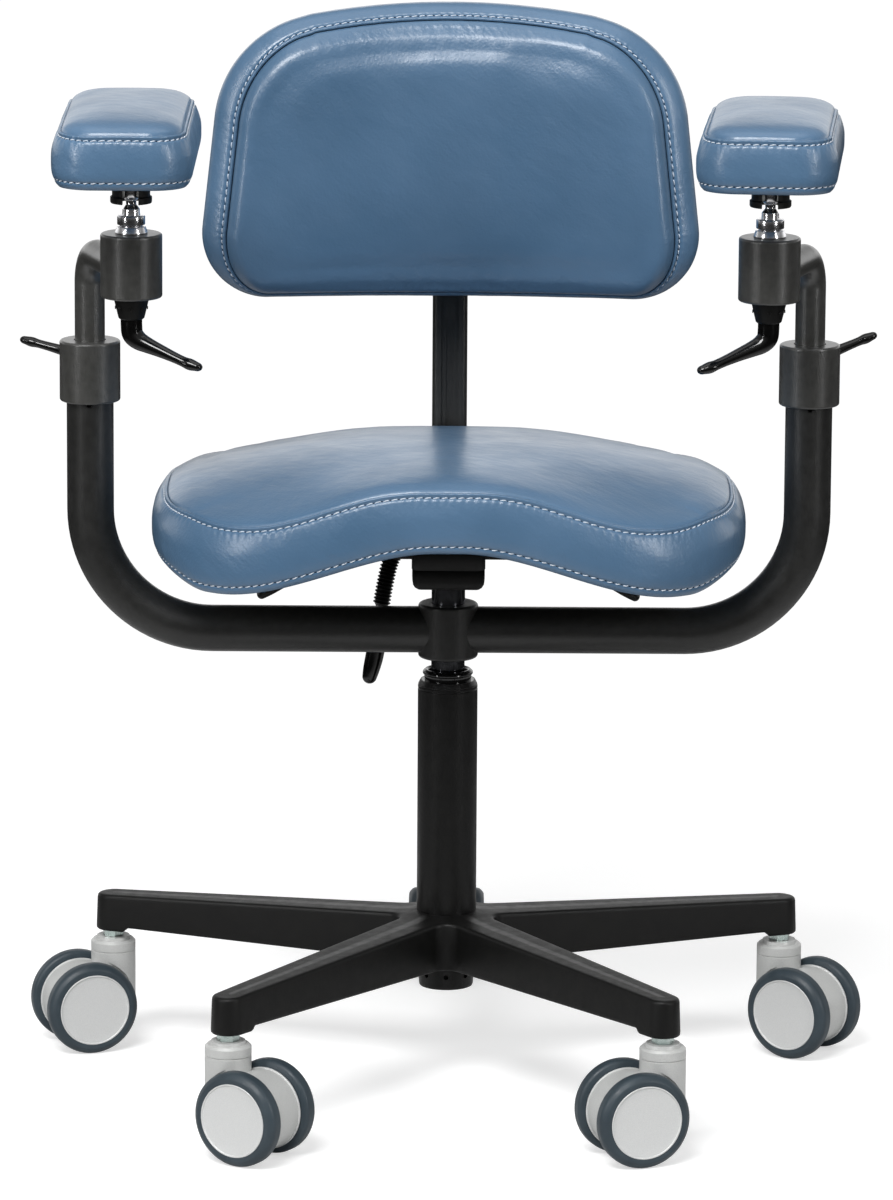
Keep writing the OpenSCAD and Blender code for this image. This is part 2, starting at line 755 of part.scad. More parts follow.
// ---------------------------------------------------------------- assembly
base_star();
column_tube();
column_bush();
thrust_bearing();
caster_stems();
piston_rod();
gas_cylinder();
arm_bar_bush();
release_pin();
mech_housing();
mech_cover();
seat_pan();
seat_cushion();
lift_lever();
tilt_lever();
back_lever();
lever_bellows();
back_pin();
back_carrier();
back_upright();
back_knob();
back_bracket();
back_shell();
back_cushion();
arm_bar();
for (side = [["left", -1], ["right", 1]]) {
    collar(side[1]);
    collar_bush(side[1]);
    arm_tube(side[1]);
    collar_lever(side[1]);
    barrel_lever(side[1]);
    ball_stud(side[1]);
    ball_liner(side[1]);
    pad_bracket(side[1]);
    arm_pad(side[1]);
}
for (c = CASTERS) {
    caster_housing(c);
    caster_wheel(c, -1);
    caster_wheel(c, 1);
}
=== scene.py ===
"""Looks of the dentist stool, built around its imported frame.

Lengths are millimetres in the frame's axes; make() turns them into metres.
"""
import math

import bmesh
import bpy
import numpy as np
from mathutils import Matrix, Vector, kdtree


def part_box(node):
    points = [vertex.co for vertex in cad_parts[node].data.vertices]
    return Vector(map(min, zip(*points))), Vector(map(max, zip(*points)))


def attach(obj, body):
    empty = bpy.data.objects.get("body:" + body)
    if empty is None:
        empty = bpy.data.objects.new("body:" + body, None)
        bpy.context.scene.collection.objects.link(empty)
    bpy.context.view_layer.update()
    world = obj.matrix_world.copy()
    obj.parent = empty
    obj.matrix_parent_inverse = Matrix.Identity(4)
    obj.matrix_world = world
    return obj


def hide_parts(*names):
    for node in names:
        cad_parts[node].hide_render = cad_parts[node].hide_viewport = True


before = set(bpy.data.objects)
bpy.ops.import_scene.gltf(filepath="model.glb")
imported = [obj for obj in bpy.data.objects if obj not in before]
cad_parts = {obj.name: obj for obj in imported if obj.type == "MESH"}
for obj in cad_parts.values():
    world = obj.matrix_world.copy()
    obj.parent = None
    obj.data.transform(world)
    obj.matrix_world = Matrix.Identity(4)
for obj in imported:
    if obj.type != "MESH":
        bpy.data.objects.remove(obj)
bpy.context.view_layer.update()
MM = 0.001
SIDES = {"left": -1, "right": 1}
CASTERS = ["side_right", "rear", "side_left", "front_left", "front_right"]


def box(node):
    """Lowest and highest corner of a CAD node, in millimetres."""
    low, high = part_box(node)
    return np.array(low) / MM, np.array(high) / MM


def middle(node):
    low, high = box(node)
    return (low + high) / 2


def corner_circles(half_x, half_y, radius, middle_y=0.0):
    """The four corner circles of a rounded rectangle."""
    return [(a * (half_x - radius), middle_y + b * (half_y - radius), radius)
            for a in (-1, 1) for b in (-1, 1)]


def stand(name, data):
    """A new object in the scene."""
    thing = bpy.data.objects.new(name, data)
    bpy.context.scene.collection.objects.link(thing)
    return thing


def mesh(name, points, faces):
    data = bpy.data.meshes.new(name)
    data.from_pydata((np.asarray(points) * MM).tolist(), [], faces)
    return data


# ---------------------------------------------------------------- node helpers
def add_node(tree, kind, inputs, **settings):
    """A node whose inputs, by name or number, are set to values or linked to other sockets."""
    node = tree.nodes.new(kind)
    for key, value in settings.items():
        setattr(node, key, value)
    for key, value in inputs.items():
        if isinstance(value, bpy.types.NodeSocket):
            tree.links.new(value, node.inputs[key])
        else:
            node.inputs[key].default_value = value
    return node


def map_range(tree, source, start, end, low, high, kind="LINEAR"):
    """A socket that goes from low to high as source goes from start to end."""
    inputs = {"Value": source, "From Min": start, "From Max": end, "To Min": low, "To Max": high}
    return add_node(tree, "ShaderNodeMapRange", inputs, interpolation_type=kind).outputs["Result"]


def combine(tree, kind, a, b):
    return add_node(tree, "ShaderNodeMath", {0: a, 1: b}, operation=kind).outputs[0]


# ---------------------------------------------------------------- camera and light
CAMERA_PLACE = (0, -5.8575, 1.6514)
CAMERA_DOWN = 11.965      # degrees below the level
CAMERA_ROLL = 0.361
CAMERA_LENS = 215.03


def add_camera():
    data = bpy.data.cameras.new("camera")
    data.sensor_width = 36
    data.lens = CAMERA_LENS
    data.shift_x = -0.0015
    data.clip_end = 100
    camera = stand("camera", data)
    camera.matrix_world = (Matrix.Translation(CAMERA_PLACE)
                           @ Matrix.Rotation(math.radians(90 - CAMERA_DOWN), 4, "X")
                           @ Matrix.Rotation(math.radians(CAMERA_ROLL), 4, "Z"))
    bpy.context.scene.camera = camera


def add_softbox(name, place, aim, width, height, power):
    data = bpy.data.lights.new(name, "AREA")
    data.shape = "RECTANGLE"
    data.size = width
    data.size_y = height
    data.energy = power
    light = stand(name, data)
    light.location = place
    light.rotation_euler = (Vector(aim) - Vector(place)).to_track_quat("-Z", "Y").to_euler()


def add_world():
    """Pale all round to the eye; as a light it is bright low down behind and dim in front."""
    world = bpy.data.worlds.new("studio")
    bpy.context.scene.world = world
    world.use_nodes = True
    tree = world.node_tree
    tree.nodes.clear()
    where = tree.nodes.new("ShaderNodeTexCoord").outputs["Generated"]
    split = add_node(tree, "ShaderNodeSeparateXYZ", {0: where}).outputs
    behind = map_range(tree, split["Y"], -0.1, 0.7, 0.0, 1.0, "SMOOTHSTEP")
    low_down = map_range(tree, split["Z"], 0.2, 0.45, 1.35, 0.0, "SMOOTHSTEP")
    ambient = map_range(tree, split["Z"], 0.0, 0.7, 0.08, 0.42, "SMOOTHSTEP")
    light = combine(tree, "ADD", combine(tree, "MULTIPLY", behind, low_down), ambient)
    seen = tree.nodes.new("ShaderNodeLightPath").outputs["Is Camera Ray"]
    lit = add_node(tree, "ShaderNodeBackground", {"Strength": light})
    plain = add_node(tree, "ShaderNodeBackground", {"Color": (1, 1, 1, 1)})
    mix = add_node(tree, "ShaderNodeMixShader", {0: seen, 1: lit.outputs[0], 2: plain.outputs[0]})
    add_node(tree, "ShaderNodeOutputWorld", {0: mix.outputs[0]})


def add_floor():
    half = 16000
    corners = [(-half, -half, 0), (half, -half, 0), (half, half, 0), (-half, half, 0)]
    data = mesh("floor", corners, [(0, 1, 2, 3)])
    skin = shader("floor_paper", (172, 172, 172), 0.9, specular_ior_level=0.0)
    tree = skin.node_tree
    paper = tree.nodes["Principled BSDF"].inputs
    paper["Emission Color"].default_value = (1, 1, 1, 1)
    where = tree.nodes.new("ShaderNodeTexCoord").outputs["Object"]
    far = add_node(tree, "ShaderNodeVectorMath", {0: where}, operation="LENGTH").outputs["Value"]
    # White paper to the eye, fading to plain white away from the stool
    seen = tree.nodes.new("ShaderNodeLightPath").outputs["Is Camera Ray"]
    fade = map_range(tree, far, 0.5, 1.3, 0.52, 1.02)
    tree.links.new(combine(tree, "MULTIPLY", fade, seen), paper["Emission Strength"])
    # The black parts mirror a pale floor below them and a dim room in front
    tree.links.new(map_range(tree, far, 0.5, 1.4, 0.68, 0.02), paper["Base Color"])
    data.materials.append(skin)
    stand("floor", data)


# ---------------------------------------------------------------- materials
def linear(colour):
    """An sRGB colour from 0 to 255 as a linear RGBA colour."""
    part = np.array(colour, float) / 255
    part = np.where(part <= 0.04045, part / 12.92, ((part + 0.055) / 1.055) ** 2.4)
    return (*part, 1.0)


def shader(name, colour, roughness, **sockets):
    """A plain shader; sockets are the names of its other sockets, in small letters."""
    skin = bpy.data.materials.new(name)
    skin.use_nodes = True
    inputs = skin.node_tree.nodes["Principled BSDF"].inputs
    inputs["Base Color"].default_value = linear(colour)
    inputs["Roughness"].default_value = roughness
    for socket, value in sockets.items():
        inputs[socket.replace("_", " ").title().replace("Ior", "IOR")].default_value = value
    return skin


def noise(skin, scale, detail, stretch=(1, 1, 1), turn=(0, 0, 0), kind="ShaderNodeTexNoise"):
    """The output of a texture in the object's own metres, scale being features to the metre.

    The features are turned first, then drawn out along the turned axes by stretch.
    """
    tree = skin.node_tree
    where = tree.nodes.new("ShaderNodeTexCoord").outputs["Object"]
    mapping = add_node(tree, "ShaderNodeMapping", {"Vector": where}, vector_type="TEXTURE")
    mapping.inputs["Scale"].default_value = stretch
    mapping.inputs["Rotation"].default_value = turn
    texture = add_node(tree, kind, {"Vector": mapping.outputs["Vector"], "Scale": scale,
                                    "Detail": detail})
    return texture.outputs[0]


def spread_value(skin, source, low, high, socket):
    """Varies a socket of the main shader between two values."""
    tree = skin.node_tree
    value = map_range(tree, source, 0.3, 0.7, low, high)
    tree.links.new(value, tree.nodes["Principled BSDF"].inputs[socket])


def tint(skin, source, low, high):
    """Colours the main shader between two sRGB colours."""
    tree = skin.node_tree
    ramp = add_node(tree, "ShaderNodeValToRGB", {0: source})
    for element, position, colour in zip(ramp.color_ramp.elements, (0.3, 0.7), (low, high)):
        element.position = position
        element.color = linear(colour)
    tree.links.new(ramp.outputs[0], tree.nodes["Principled BSDF"].inputs["Base Color"])


def emboss(skin, *layers):
    """Stacks bump layers (texture output, depth in millimetres)."""
    tree = skin.node_tree
    below = {}
    for source, depth in layers:
        inputs = {"Distance": depth * MM, "Height": source, **below}
        below = {"Normal": add_node(tree, "ShaderNodeBump", inputs).outputs["Normal"]}
    tree.links.new(below["Normal"], tree.nodes["Principled BSDF"].inputs["Normal"])


def surface(name, base, roughness, tone, gloss=None, bumps=(), **sockets):
    """A shader with a cloudy colour and roughness, and relief.

    tone is (scale, detail, dark, light), gloss (scale, detail, low, high), and each of bumps a
    depth in millimetres, then what noise() takes.
    """
    skin = shader(name, base, roughness, **sockets)
    tint(skin, noise(skin, *tone[:2]), *tone[2:])
    if gloss:
        spread_value(skin, noise(skin, *gloss[:2]), *gloss[2:], "Roughness")
    if bumps:
        emboss(skin, *[(noise(skin, *look), depth) for depth, *look in bumps])
    return skin


def powder_coat(name, dark, light, roughness, shine, coat):
    """Textured black paint on steel."""
    return surface(name, dark, roughness, (180, 4, dark, light),
                   (90, 3, roughness - 0.04, roughness + 0.05), [(0.16, 850, 2), (0.12, 300, 2)],
                   specular_ior_level=shine, coat_weight=coat, coat_roughness=0.3)


def moulded(name, dark, light, roughness, depth, shine=0.24):
    """Moulded plastic with a fine spark-eroded grain."""
    return surface(name, dark, roughness, (60, 4, dark, light),
                   (140, 3, roughness - 0.04, roughness + 0.05), [(depth, 1400, 2)],
                   specular_ior_level=shine)


def metal(name, dark, light, roughness, depth=0.01):
    """Bare metal with faint marks."""
    return surface(name, dark, roughness, (120, 4, dark, light),
                   (200, 4, roughness * 0.8, roughness * 1.3), [(depth, 500, 3)], metallic=1.0)


def silver_plastic(name, dark, light):
    return surface(name, dark, 0.42, (2200, 1, dark, light), (500, 3, 0.36, 0.46),
                   [(0.04, 1800, 2)], metallic=0.2)


WRINKLES = (0.8, 95, 4, (4.5, 1, 1), (0.25, 0.66, -0.6))
PORES = (0.12, 420, 0, (1, 1, 1), (0, 0, 0), "ShaderNodeTexVoronoi")
LEATHER = surface("blue_leatherette", (78, 109, 139), 0.36, (9, 3, (71, 102, 131), (84, 115, 145)),
                  (30, 4, 0.3, 0.4), [WRINKLES, PORES, (0.12, 900, 3)],
                  coat_weight=0.35, coat_roughness=0.22)
# Painted shade: near-black leather for the strips beside each crease, standing in for the shadow in
# the seam's fold.
PAINTED_SEAM_SHADE = surface("seam_shadow", (10, 15, 22), 0.8, (300, 2, (7, 11, 17), (14, 21, 31)),
               specular_ior_level=0.2)
THREAD = surface("white_thread", (208, 216, 226), 0.6, (1500, 2, (186, 198, 212), (226, 231, 238)),
                 bumps=[(0.1, 2600, 1, (1, 1, 2))], sheen_weight=0.3)
# Painted shade: dark navy for the small lenses set on the leather at each stitch, standing in for
# the shade inside the needle holes.
PAINTED_HOLE_SHADE = surface("needle_hole_painted_shade", (14, 20, 32), 0.8, (900, 1, (10, 15, 26), (20, 28, 42)))
COAT = powder_coat("powder_coat", (52, 52, 50), (64, 64, 62), 0.38, 0.5, 0.8)
# Painted shade: the arm bar's coat is a darker copy of the collars' powder coat, standing in for
# the shade on the hub and the bar's horizontal run under the seat.
BAR_SHADED_COAT = powder_coat("bar_coat_painted_shade", (24, 24, 23), (32, 32, 31), 0.42, 0.4, 0.3)
# Painted shade: the column's coat is a much darker copy of the powder coat, standing in for the
# shade the column stands in below the seat.
COLUMN_SHADED_COAT = powder_coat("column_coat_painted_shade", (6, 6, 6), (10, 10, 9), 0.36, 0.3, 0.0)
NYLON = moulded("base_nylon", (8, 8, 8), (13, 13, 12), 0.44, 0.12)
PLASTIC = moulded("black_plastic", (8, 8, 8), (13, 13, 12), 0.46, 0.1)
GLOSS = moulded("gloss_black", (6, 6, 6), (10, 10, 10), 0.14, 0.01, 0.5)
RUBBER = moulded("bellows_rubber", (14, 14, 14), (22, 22, 22), 0.4, 0.06)
LINER = moulded("liner_plastic", (214, 214, 208), (226, 226, 222), 0.4, 0.03, 0.5)
SILVER = silver_plastic("silver_plastic", (198, 199, 199), (212, 213, 212))
FORK = silver_plastic("fork_plastic", (184, 185, 184), (200, 201, 199))
TYRE = surface("slate_tyre", (49, 60, 67), 0.42, (45, 4, (44, 54, 61), (54, 65, 72)),
               (160, 4, 0.36, 0.5), [(0.05, 700, 3)], specular_ior_level=0.35)
CHROME = metal("chrome", (226, 226, 228), (240, 240, 242), 0.2, 0.002)
STEEL = metal("steel", (170, 170, 170), (190, 188, 186), 0.3)
ZINC = metal("zinc", (192, 208, 204), (208, 220, 216), 0.26)
CYLINDER = metal("black_cylinder", (118, 119, 124), (134, 135, 140), 0.14, 0.002)


# ---------------------------------------------------------------- mesh helpers
def ease(start, end, x):
    """Smooth step from 0 at start to 1 at end."""
    t = np.clip((np.asarray(x, float) - start) / (end - start), 0, 1)
    return t * t * (3 - 2 * t)


def hill(x, centre, width):
    """A bell of height 1."""
    return np.exp(-(((np.asarray(x, float) - centre) / width) ** 2))


def unit(v):
    v = np.asarray(v, float)
    return v / np.linalg.norm(v, axis=-1, keepdims=True)


def outward(shell):
    """The shell with its faces turned outwards."""
    points, faces = shell
    total = 0.0
    for corners in (3, 4):
        some = np.array([f for f in faces if len(f) == corners], int)
        if len(some):
            for k in range(1, corners - 1):
                a, b, c = points[some[:, 0]], points[some[:, k]], points[some[:, k + 1]]
                total += np.einsum("ij,ij->", a, np.cross(b, c))
    return (points, faces) if total > 0 else (points, [f[::-1] for f in faces])


def ring_starts(rings):
    """Index of each ring's first point in the loft of the rings."""
    return np.cumsum([0] + [len(ring) for ring in rings])


def strip(a, na, b, nb):
    """Faces from a ring of na points, numbered from a, to one of nb points, numbered from b."""
    if na < nb:
        return [face[::-1] for face in strip(b, nb, a, na)]
    k = np.arange(nb)
    after = (k + 1) % nb
    if na == nb:
        return np.stack([a + k, a + after, b + after, b + k], 1).tolist()
    last = (2 * k + 2) % na
    return (np.stack([a + 2 * k, a + 2 * k + 1, b + k], 1).tolist()
            + np.stack([a + 2 * k + 1, b + after, b + k], 1).tolist()
            + np.stack([a + 2 * k + 1, a + last, b + after], 1).tolist())


def loft(rings, ends=None, closed=False):
    """A skin through rings of points; a ring may have half or twice the points of the next.

    Each end is closed by a point: the one in ends, or the end ring's middle.
    """
    starts = ring_starts(rings)
    pairs = [(i, i + 1) for i in range(len(rings) - 1)] + ([(len(rings) - 1, 0)] if closed else [])
    faces = []
    for i, j in pairs:
        faces += strip(starts[i], len(rings[i]), starts[j], len(rings[j]))
    points = np.vstack(rings)
    if not closed:
        first, last = ends if ends else (rings[0].mean(0), rings[-1].mean(0))
        n = len(points)
        k = np.arange(len(rings[0]))
        faces += np.stack([np.roll(k, -1), k, np.full(len(k), n)], 1).tolist()
        k = np.arange(len(rings[-1]))
        b = starts[-2]
        faces += np.stack([b + k, b + np.roll(k, -1), np.full(len(k), n + 1)], 1).tolist()
        points = np.vstack([points, first, last])
    return outward((points, faces))


def revolve(profile, sides=72):
    """An outline of (radius, height) points turned about Z.

    It starts and ends on the axis, or closes on itself.
    """
    profile = [tuple(p) for p in profile]
    turn = np.linspace(0, 2 * np.pi, sides, endpoint=False)
    on_axis = profile[0][0] < 1e-6
    body = profile[1:-1] if on_axis else profile
    rings = [np.stack([r * np.cos(turn), r * np.sin(turn), np.full(sides, z)], 1) for r, z in body]
    if on_axis:
        return loft(rings, ends=((0, 0, profile[0][1]), (0, 0, profile[-1][1])))
    return loft(rings, closed=True)


def fillet(corners, steps=4):
    """Points of a closed outline of (x, y) and (x, y, radius) corners, the latter rounded."""
    corners = [(*corner, 0)[:3] for corner in corners]
    out = []
    for i, (x, y, radius) in enumerate(corners):
        here = np.array((x, y), float)
        if radius <= 0:
            out.append(here)
            continue
        back = np.array(corners[i - 1][:2]) - here
        ahead = np.array(corners[(i + 1) % len(corners)][:2]) - here
        longest = 0.48 * min(np.linalg.norm(back), np.linalg.norm(ahead))
        back, ahead = unit(back), unit(ahead)
        half = math.acos(np.clip(back @ ahead, -1, 1)) / 2
        reach = min(radius / math.tan(half), longest)
        true = reach * math.tan(half)
        centre = here + unit(back + ahead) * true / math.sin(half)
        start = here + back * reach - centre
        end = here + ahead * reach - centre
        for k in range(steps + 1):
            arm = start + (end - start) * k / steps
            out.append(centre + unit(arm) * true)
    return out


def moved(shell, origin=(0, 0, 0), x=(1, 0, 0), z=(0, 0, 1)):
    """The shell with its X and Z axes turned to x and z and its origin moved."""
    x, z = unit(x), unit(z)
    return shell[0] @ np.array([x, np.cross(z, x), z]) + np.array(origin, float), shell[1]


def spline(points, steps=6):
    """A Catmull-Rom line through the points, which may have columns beyond x, y and z."""
    p = np.asarray(points, float)
    p = np.vstack([2 * p[0] - p[1], p, 2 * p[-1] - p[-2]])
    t = np.linspace(0, 1, steps, endpoint=False)[:, None]
    runs = []
    for a, b, c, d in zip(p, p[1:], p[2:], p[3:]):
        runs.append(0.5 * (2 * b + (c - a) * t + (2 * a - 5 * b + 4 * c - d) * t ** 2
                           + (3 * b - a - 3 * c + d) * t ** 3))
    return np.vstack(runs + [p[-2:-1]])


def tube(path, radius, sides=16, up=(0, 0, 1), flat=1.0, dome=3):
    """A bar along path with domed ends. up is the direction that flat scales."""
    path = np.asarray(path, float)
    radius = np.broadcast_to(radius, len(path)).astype(float)
    flat = np.broadcast_to(flat, len(path)).astype(float)
    along = unit(np.gradient(path, axis=0))
    turn = np.linspace(0, 2 * np.pi, sides, endpoint=False)
    rim = np.stack([np.cos(turn), np.sin(turn)], 1)
    side = unit(np.cross(np.asarray(up, float), along[0]))
    frames = []
    for direction in along:
        side = unit(side - direction * (side @ direction))
        frames.append((side, np.cross(direction, side)))

    def ring(i, forward, share):
        u, v = frames[i]
        centre = path[i] + along[i] * forward * radius[i]
        return centre + radius[i] * share * (rim[:, :1] * u + rim[:, 1:] * v * flat[i])

    caps = [math.radians(90 * (k + 0.5) / (dome + 0.5)) for k in range(dome)]
    rings = [ring(0, -math.cos(a), math.sin(a)) for a in caps]
    rings += [ring(i, 0, 1) for i in range(len(path))]
    rings += [ring(len(path) - 1, math.cos(a), math.sin(a)) for a in reversed(caps)]
    tips = (path[0] - along[0] * radius[0], path[-1] + along[-1] * radius[-1])
    return loft(rings, ends=tips)


def round_circles(circles, count=3000):
    """The line drawn tight round circles (x, y, radius), anticlockwise."""
    turn = np.linspace(0, 2 * np.pi, count, endpoint=False)
    way = np.stack([np.cos(turn), np.sin(turn)], 1)
    circles = np.array(circles, float)
    best = (circles[:, :2] @ way.T + circles[:, 2:]).argmax(0)
    return circles[best, :2] + way * circles[best, 2:]


def even(line, count):
    """count points at equal steps along a closed line, and the outward normals there."""
    loop = np.vstack([line, line[:1]])
    run = np.concatenate([[0], np.cumsum(np.linalg.norm(np.diff(loop, axis=0), axis=1))])
    at = np.linspace(0, run[-1], count, endpoint=False)
    points = np.stack([np.interp(at, run, loop[:, k]) for k in range(2)], 1)
    along = np.roll(points, -1, axis=0) - np.roll(points, 1, axis=0)
    return points, unit(np.stack([along[:, 1], -along[:, 0]], 1))


def slab(line, levels, count=120):
    """A solid on an outline, with one ring for each (inset, height) level."""
    points, normals = even(line, count)
    return loft([np.column_stack([points - normals * inset, np.full(count, height)])
                 for inset, height in levels])


def make(name, shells, material, body, sharp=None):
    """An object from shells of (points, faces), riding on a body."""
    points, faces, total = [], [], 0
    for shell_points, shell_faces in shells:
        points.append(shell_points)
        faces += [[i + total for i in face] for face in shell_faces]
        total += len(shell_points)
    data = mesh(name, np.vstack(points), faces)
    data.shade_smooth()
    if sharp:
        data.set_sharp_from_angle(angle=math.radians(sharp))
    data.materials.append(material)
    piece = stand(name, data)
    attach(piece, body)
    return piece


# ---------------------------------------------------------------- cushions
COLUMNS = 4          # columns of a cushion's fine mesh to one stitch
CLOTH_FRAMES = 20    # frames for which a cushion's cover is blown up
WELT = 4.8           # from the crease to the row of stitches beside the welt
HEM = 7.0            # from the lower edge up to the second row of stitches

RIM_DEPTH = 20       # the top panel's rows follow the crease down to this depth
UNDER_DEPTH = 26     # and the underside's rows follow the lower edge to this one
SIDE_STEPS = 64      # steps of the profile down a cushion's side

# Rows of the fine mesh that is shown and of the coarse mesh that is simulated. A row is a place,
# and in all but welt and hem also how many of the outline's columns go to one of the row's.
# Top and under: mm inside the crease or lower edge. Inner and core: share of the way out from the
# middle. Welt and hem: mm below the crease or above the lower edge. Middle: share between those.
INNER_ROWS = [(0.96, 4), (0.9, 8), (0.82, 8), (0.73, 8), (0.62, 16), (0.5, 16), (0.38, 16),
              (0.26, 32), (0.13, 32)]
FINE = {
    "top": [(0, 1), (0.5, 1), (1.1, 1), (2, 1), (3.4, 1), (5.5, 1), (8.5, 2), (12, 2), (16, 2),
            (RIM_DEPTH, 4)],
    "inner": INNER_ROWS,
    "welt": [0.5, 1.1, 1.7, 2.4, 3.1, 3.8, 4.3, WELT, 5.3, 6.1, 7.2, 8.8, 11, 14, 18],
    "middle": [(0.14, 2), (0.28, 2), (0.42, 2), (0.56, 2), (0.7, 2), (0.84, 2)],
    "hem": [12, 9.5, 8.2, 7.5, HEM, 6.5, 5.8, 4.4, 2.8, 1.3, 0],
    "under": [(2, 1), (6, 2), (14, 4), (UNDER_DEPTH, 8)],
    "core": INNER_ROWS,
}
COARSE = {
    "top": [(0, 1), (7, 1), (14, 1), (RIM_DEPTH, 2)],
    "inner": [(0.85, 2), (0.7, 2), (0.55, 4), (0.4, 4), (0.25, 8), (0.12, 8)],
    "welt": [8],
    "middle": [(0.25, 1), (0.5, 1), (0.75, 1)],
    "hem": [HEM, 0],
    "under": [(6, 1), (UNDER_DEPTH, 2)],
    "core": [(0.8, 2), (0.5, 4), (0.2, 8)],
}


class Cushion:
    """A boxed cushion in its own frame: a plan in x and y, and its height in z.

    line is the widest outline, top(xy, depth) the height of the panel at a distance inside the
    crease, low(xy) that of the lower edge, and seam_in(normal) how far inside line the crease is.
    """

    def __init__(self, line, top, low, seam_in, low_in, place, seed, pucker):
        self.line, self.top, self.low = line, top, low
        self.seam_in, self.low_in, self.place = seam_in, low_in, place
        self.random = np.random.default_rng(seed)
        self.pucker = pucker

    def wander(self, count, spacing):
        """A smooth random value from about -1 to 1 for each column."""
        knots = self.random.normal(0, 0.6, max(4, count // spacing))
        loop = np.append(knots, knots[0])
        t = np.linspace(0, len(knots), count, endpoint=False)
        k = t.astype(int)
        return loop[k] + (loop[k + 1] - loop[k]) * ease(0, 1, t - k)

    def measure(self, base, normals, crease_in):
        """Lays a profile down the side at each column, and keeps the length run along it."""
        top_height = self.top(base - normals * crease_in[:, None], 0)[:, None]
        low_height = self.low(base - normals * self.low_in)[:, None]
        t = np.linspace(0, 1, SIDE_STEPS + 1)
        upper = crease_in[:, None] * np.clip(1 - t / 0.5, 0, 1) ** 2.1
        lower = self.low_in * np.clip((t - 0.6) / 0.4, 0, 1) ** 2.6
        self.out = -upper - lower
        self.height = top_height + (low_height - top_height) * t
        step = np.hypot(np.diff(self.out, axis=1), np.diff(self.height, axis=1))
        self.run = np.column_stack([np.zeros(len(base)), np.cumsum(step, axis=1)])

    def side(self, gone, base, normals):
        """Points at a length down the side from the crease, and the outward direction there."""
        gone = np.broadcast_to(gone, len(base))
        row = np.arange(len(base))
        after = np.clip((self.run < gone[:, None]).sum(1), 1, SIDE_STEPS)
        before, after = (row, after - 1), (row, after)
        part = (gone - self.run[before]) / (self.run[after] - self.run[before])
        fall_out = self.out[after] - self.out[before]
        fall_down = self.height[after] - self.height[before]
        out = self.out[before] + fall_out * part
        height = self.height[before] + fall_down * part
        slope = unit(np.stack([-fall_down, fall_out], 1))
        points = np.column_stack([base + normals * out[:, None], height])
        return points, np.column_stack([normals * slope[:, :1], slope[:, 1]])

    def detail(self, e):
        """How far the skin stands out beside the crease, e mm below it."""
        out = -2.2 * hill(e, 0, 0.6) + 0.75 * hill(e, 2.1, 1.2) - 1.0 * hill(e, WELT, 1.2)
        gathers = hill(e, 6.4, 3.6) + 0.5 * hill(e, 2.6, 1.2)
        out = out - self.pucker * self.strength * self.beat * gathers
        return out - self.pucker * 0.8 * self.folds * hill(e, 11, 7)

    def hem_detail(self, e):
        """How far the skin stands out e mm above the lower edge."""
        return (-0.8 * hill(e, HEM, 1.0) - 0.15 * self.beat * hill(e, HEM + 1.5, 2)
                + 0.3 * hill(e, 3.5, 2.0))

    def rings(self, count, fine):
        """Every ring from the middle of the top to the middle of the underside."""
        rows = FINE if fine else COARSE
        base_all, normals_all = even(self.line, count)
        crease_all = self.seam_in(normals_all)
        centre = (self.line.max(0) + self.line.min(0)) / 2
        rings, marks = [], {}

        def part(every):
            return base_all[::every], normals_all[::every], crease_all[::every]

        for share, every in reversed(rows["inner"]):
            base, normals, crease = part(every)
            rim = base - normals * (crease + RIM_DEPTH)[:, None]
            xy = centre + (rim - centre) * share
            depth = RIM_DEPTH + (1 - share) * np.linalg.norm(rim - centre, axis=1)
            rings.append(np.column_stack([xy, self.top(xy, depth)]))
        for depth, every in reversed(rows["top"]):
            base, normals, crease = part(every)
            xy = base - normals * (crease + depth)[:, None]
            height = self.top(xy, depth)
            if fine:
                height = height - 2.2 * hill(depth, 0, 0.8)
            if depth == 0:
                marks["crease"] = len(rings)
            rings.append(np.column_stack([xy, height]))

        self.measure(base_all, normals_all, crease_all)
        reach = self.run[:, -1]
        last_welt, first_hem = rows["welt"][-1], rows["hem"][0]

        def side_row(gone, every=1, out=0.0):
            points, away = self.side(gone, base_all, normals_all)
            rings.append((points + away * np.broadcast_to(out, count)[:, None])[::every])

        for e in rows["welt"]:
            if e == WELT:
                marks["welt"] = len(rings)
            side_row(e, out=self.detail(e) if fine else 0.0)
        for share, every in rows["middle"]:
            side_row(last_welt + (reach - first_hem - last_welt) * share, every)
        for e in rows["hem"]:
            if e == HEM:
                marks["hem"] = len(rings)
            side_row(reach - e, out=self.hem_detail(e) if fine else 0.0)
        marks["edge"] = len(rings) - 1

        def under_row(every, inset, share=1):
            base, normals, _ = part(every)
            xy = centre + (base - normals * (self.low_in + inset) - centre) * share
            rings.append(np.column_stack([xy, self.low(xy) + 0.3]))

        for inset, every in rows["under"]:
            under_row(every, inset)
        for share, every in rows["core"]:
            under_row(every, UNDER_DEPTH, share)
        return [self.place(ring) for ring in rings], marks

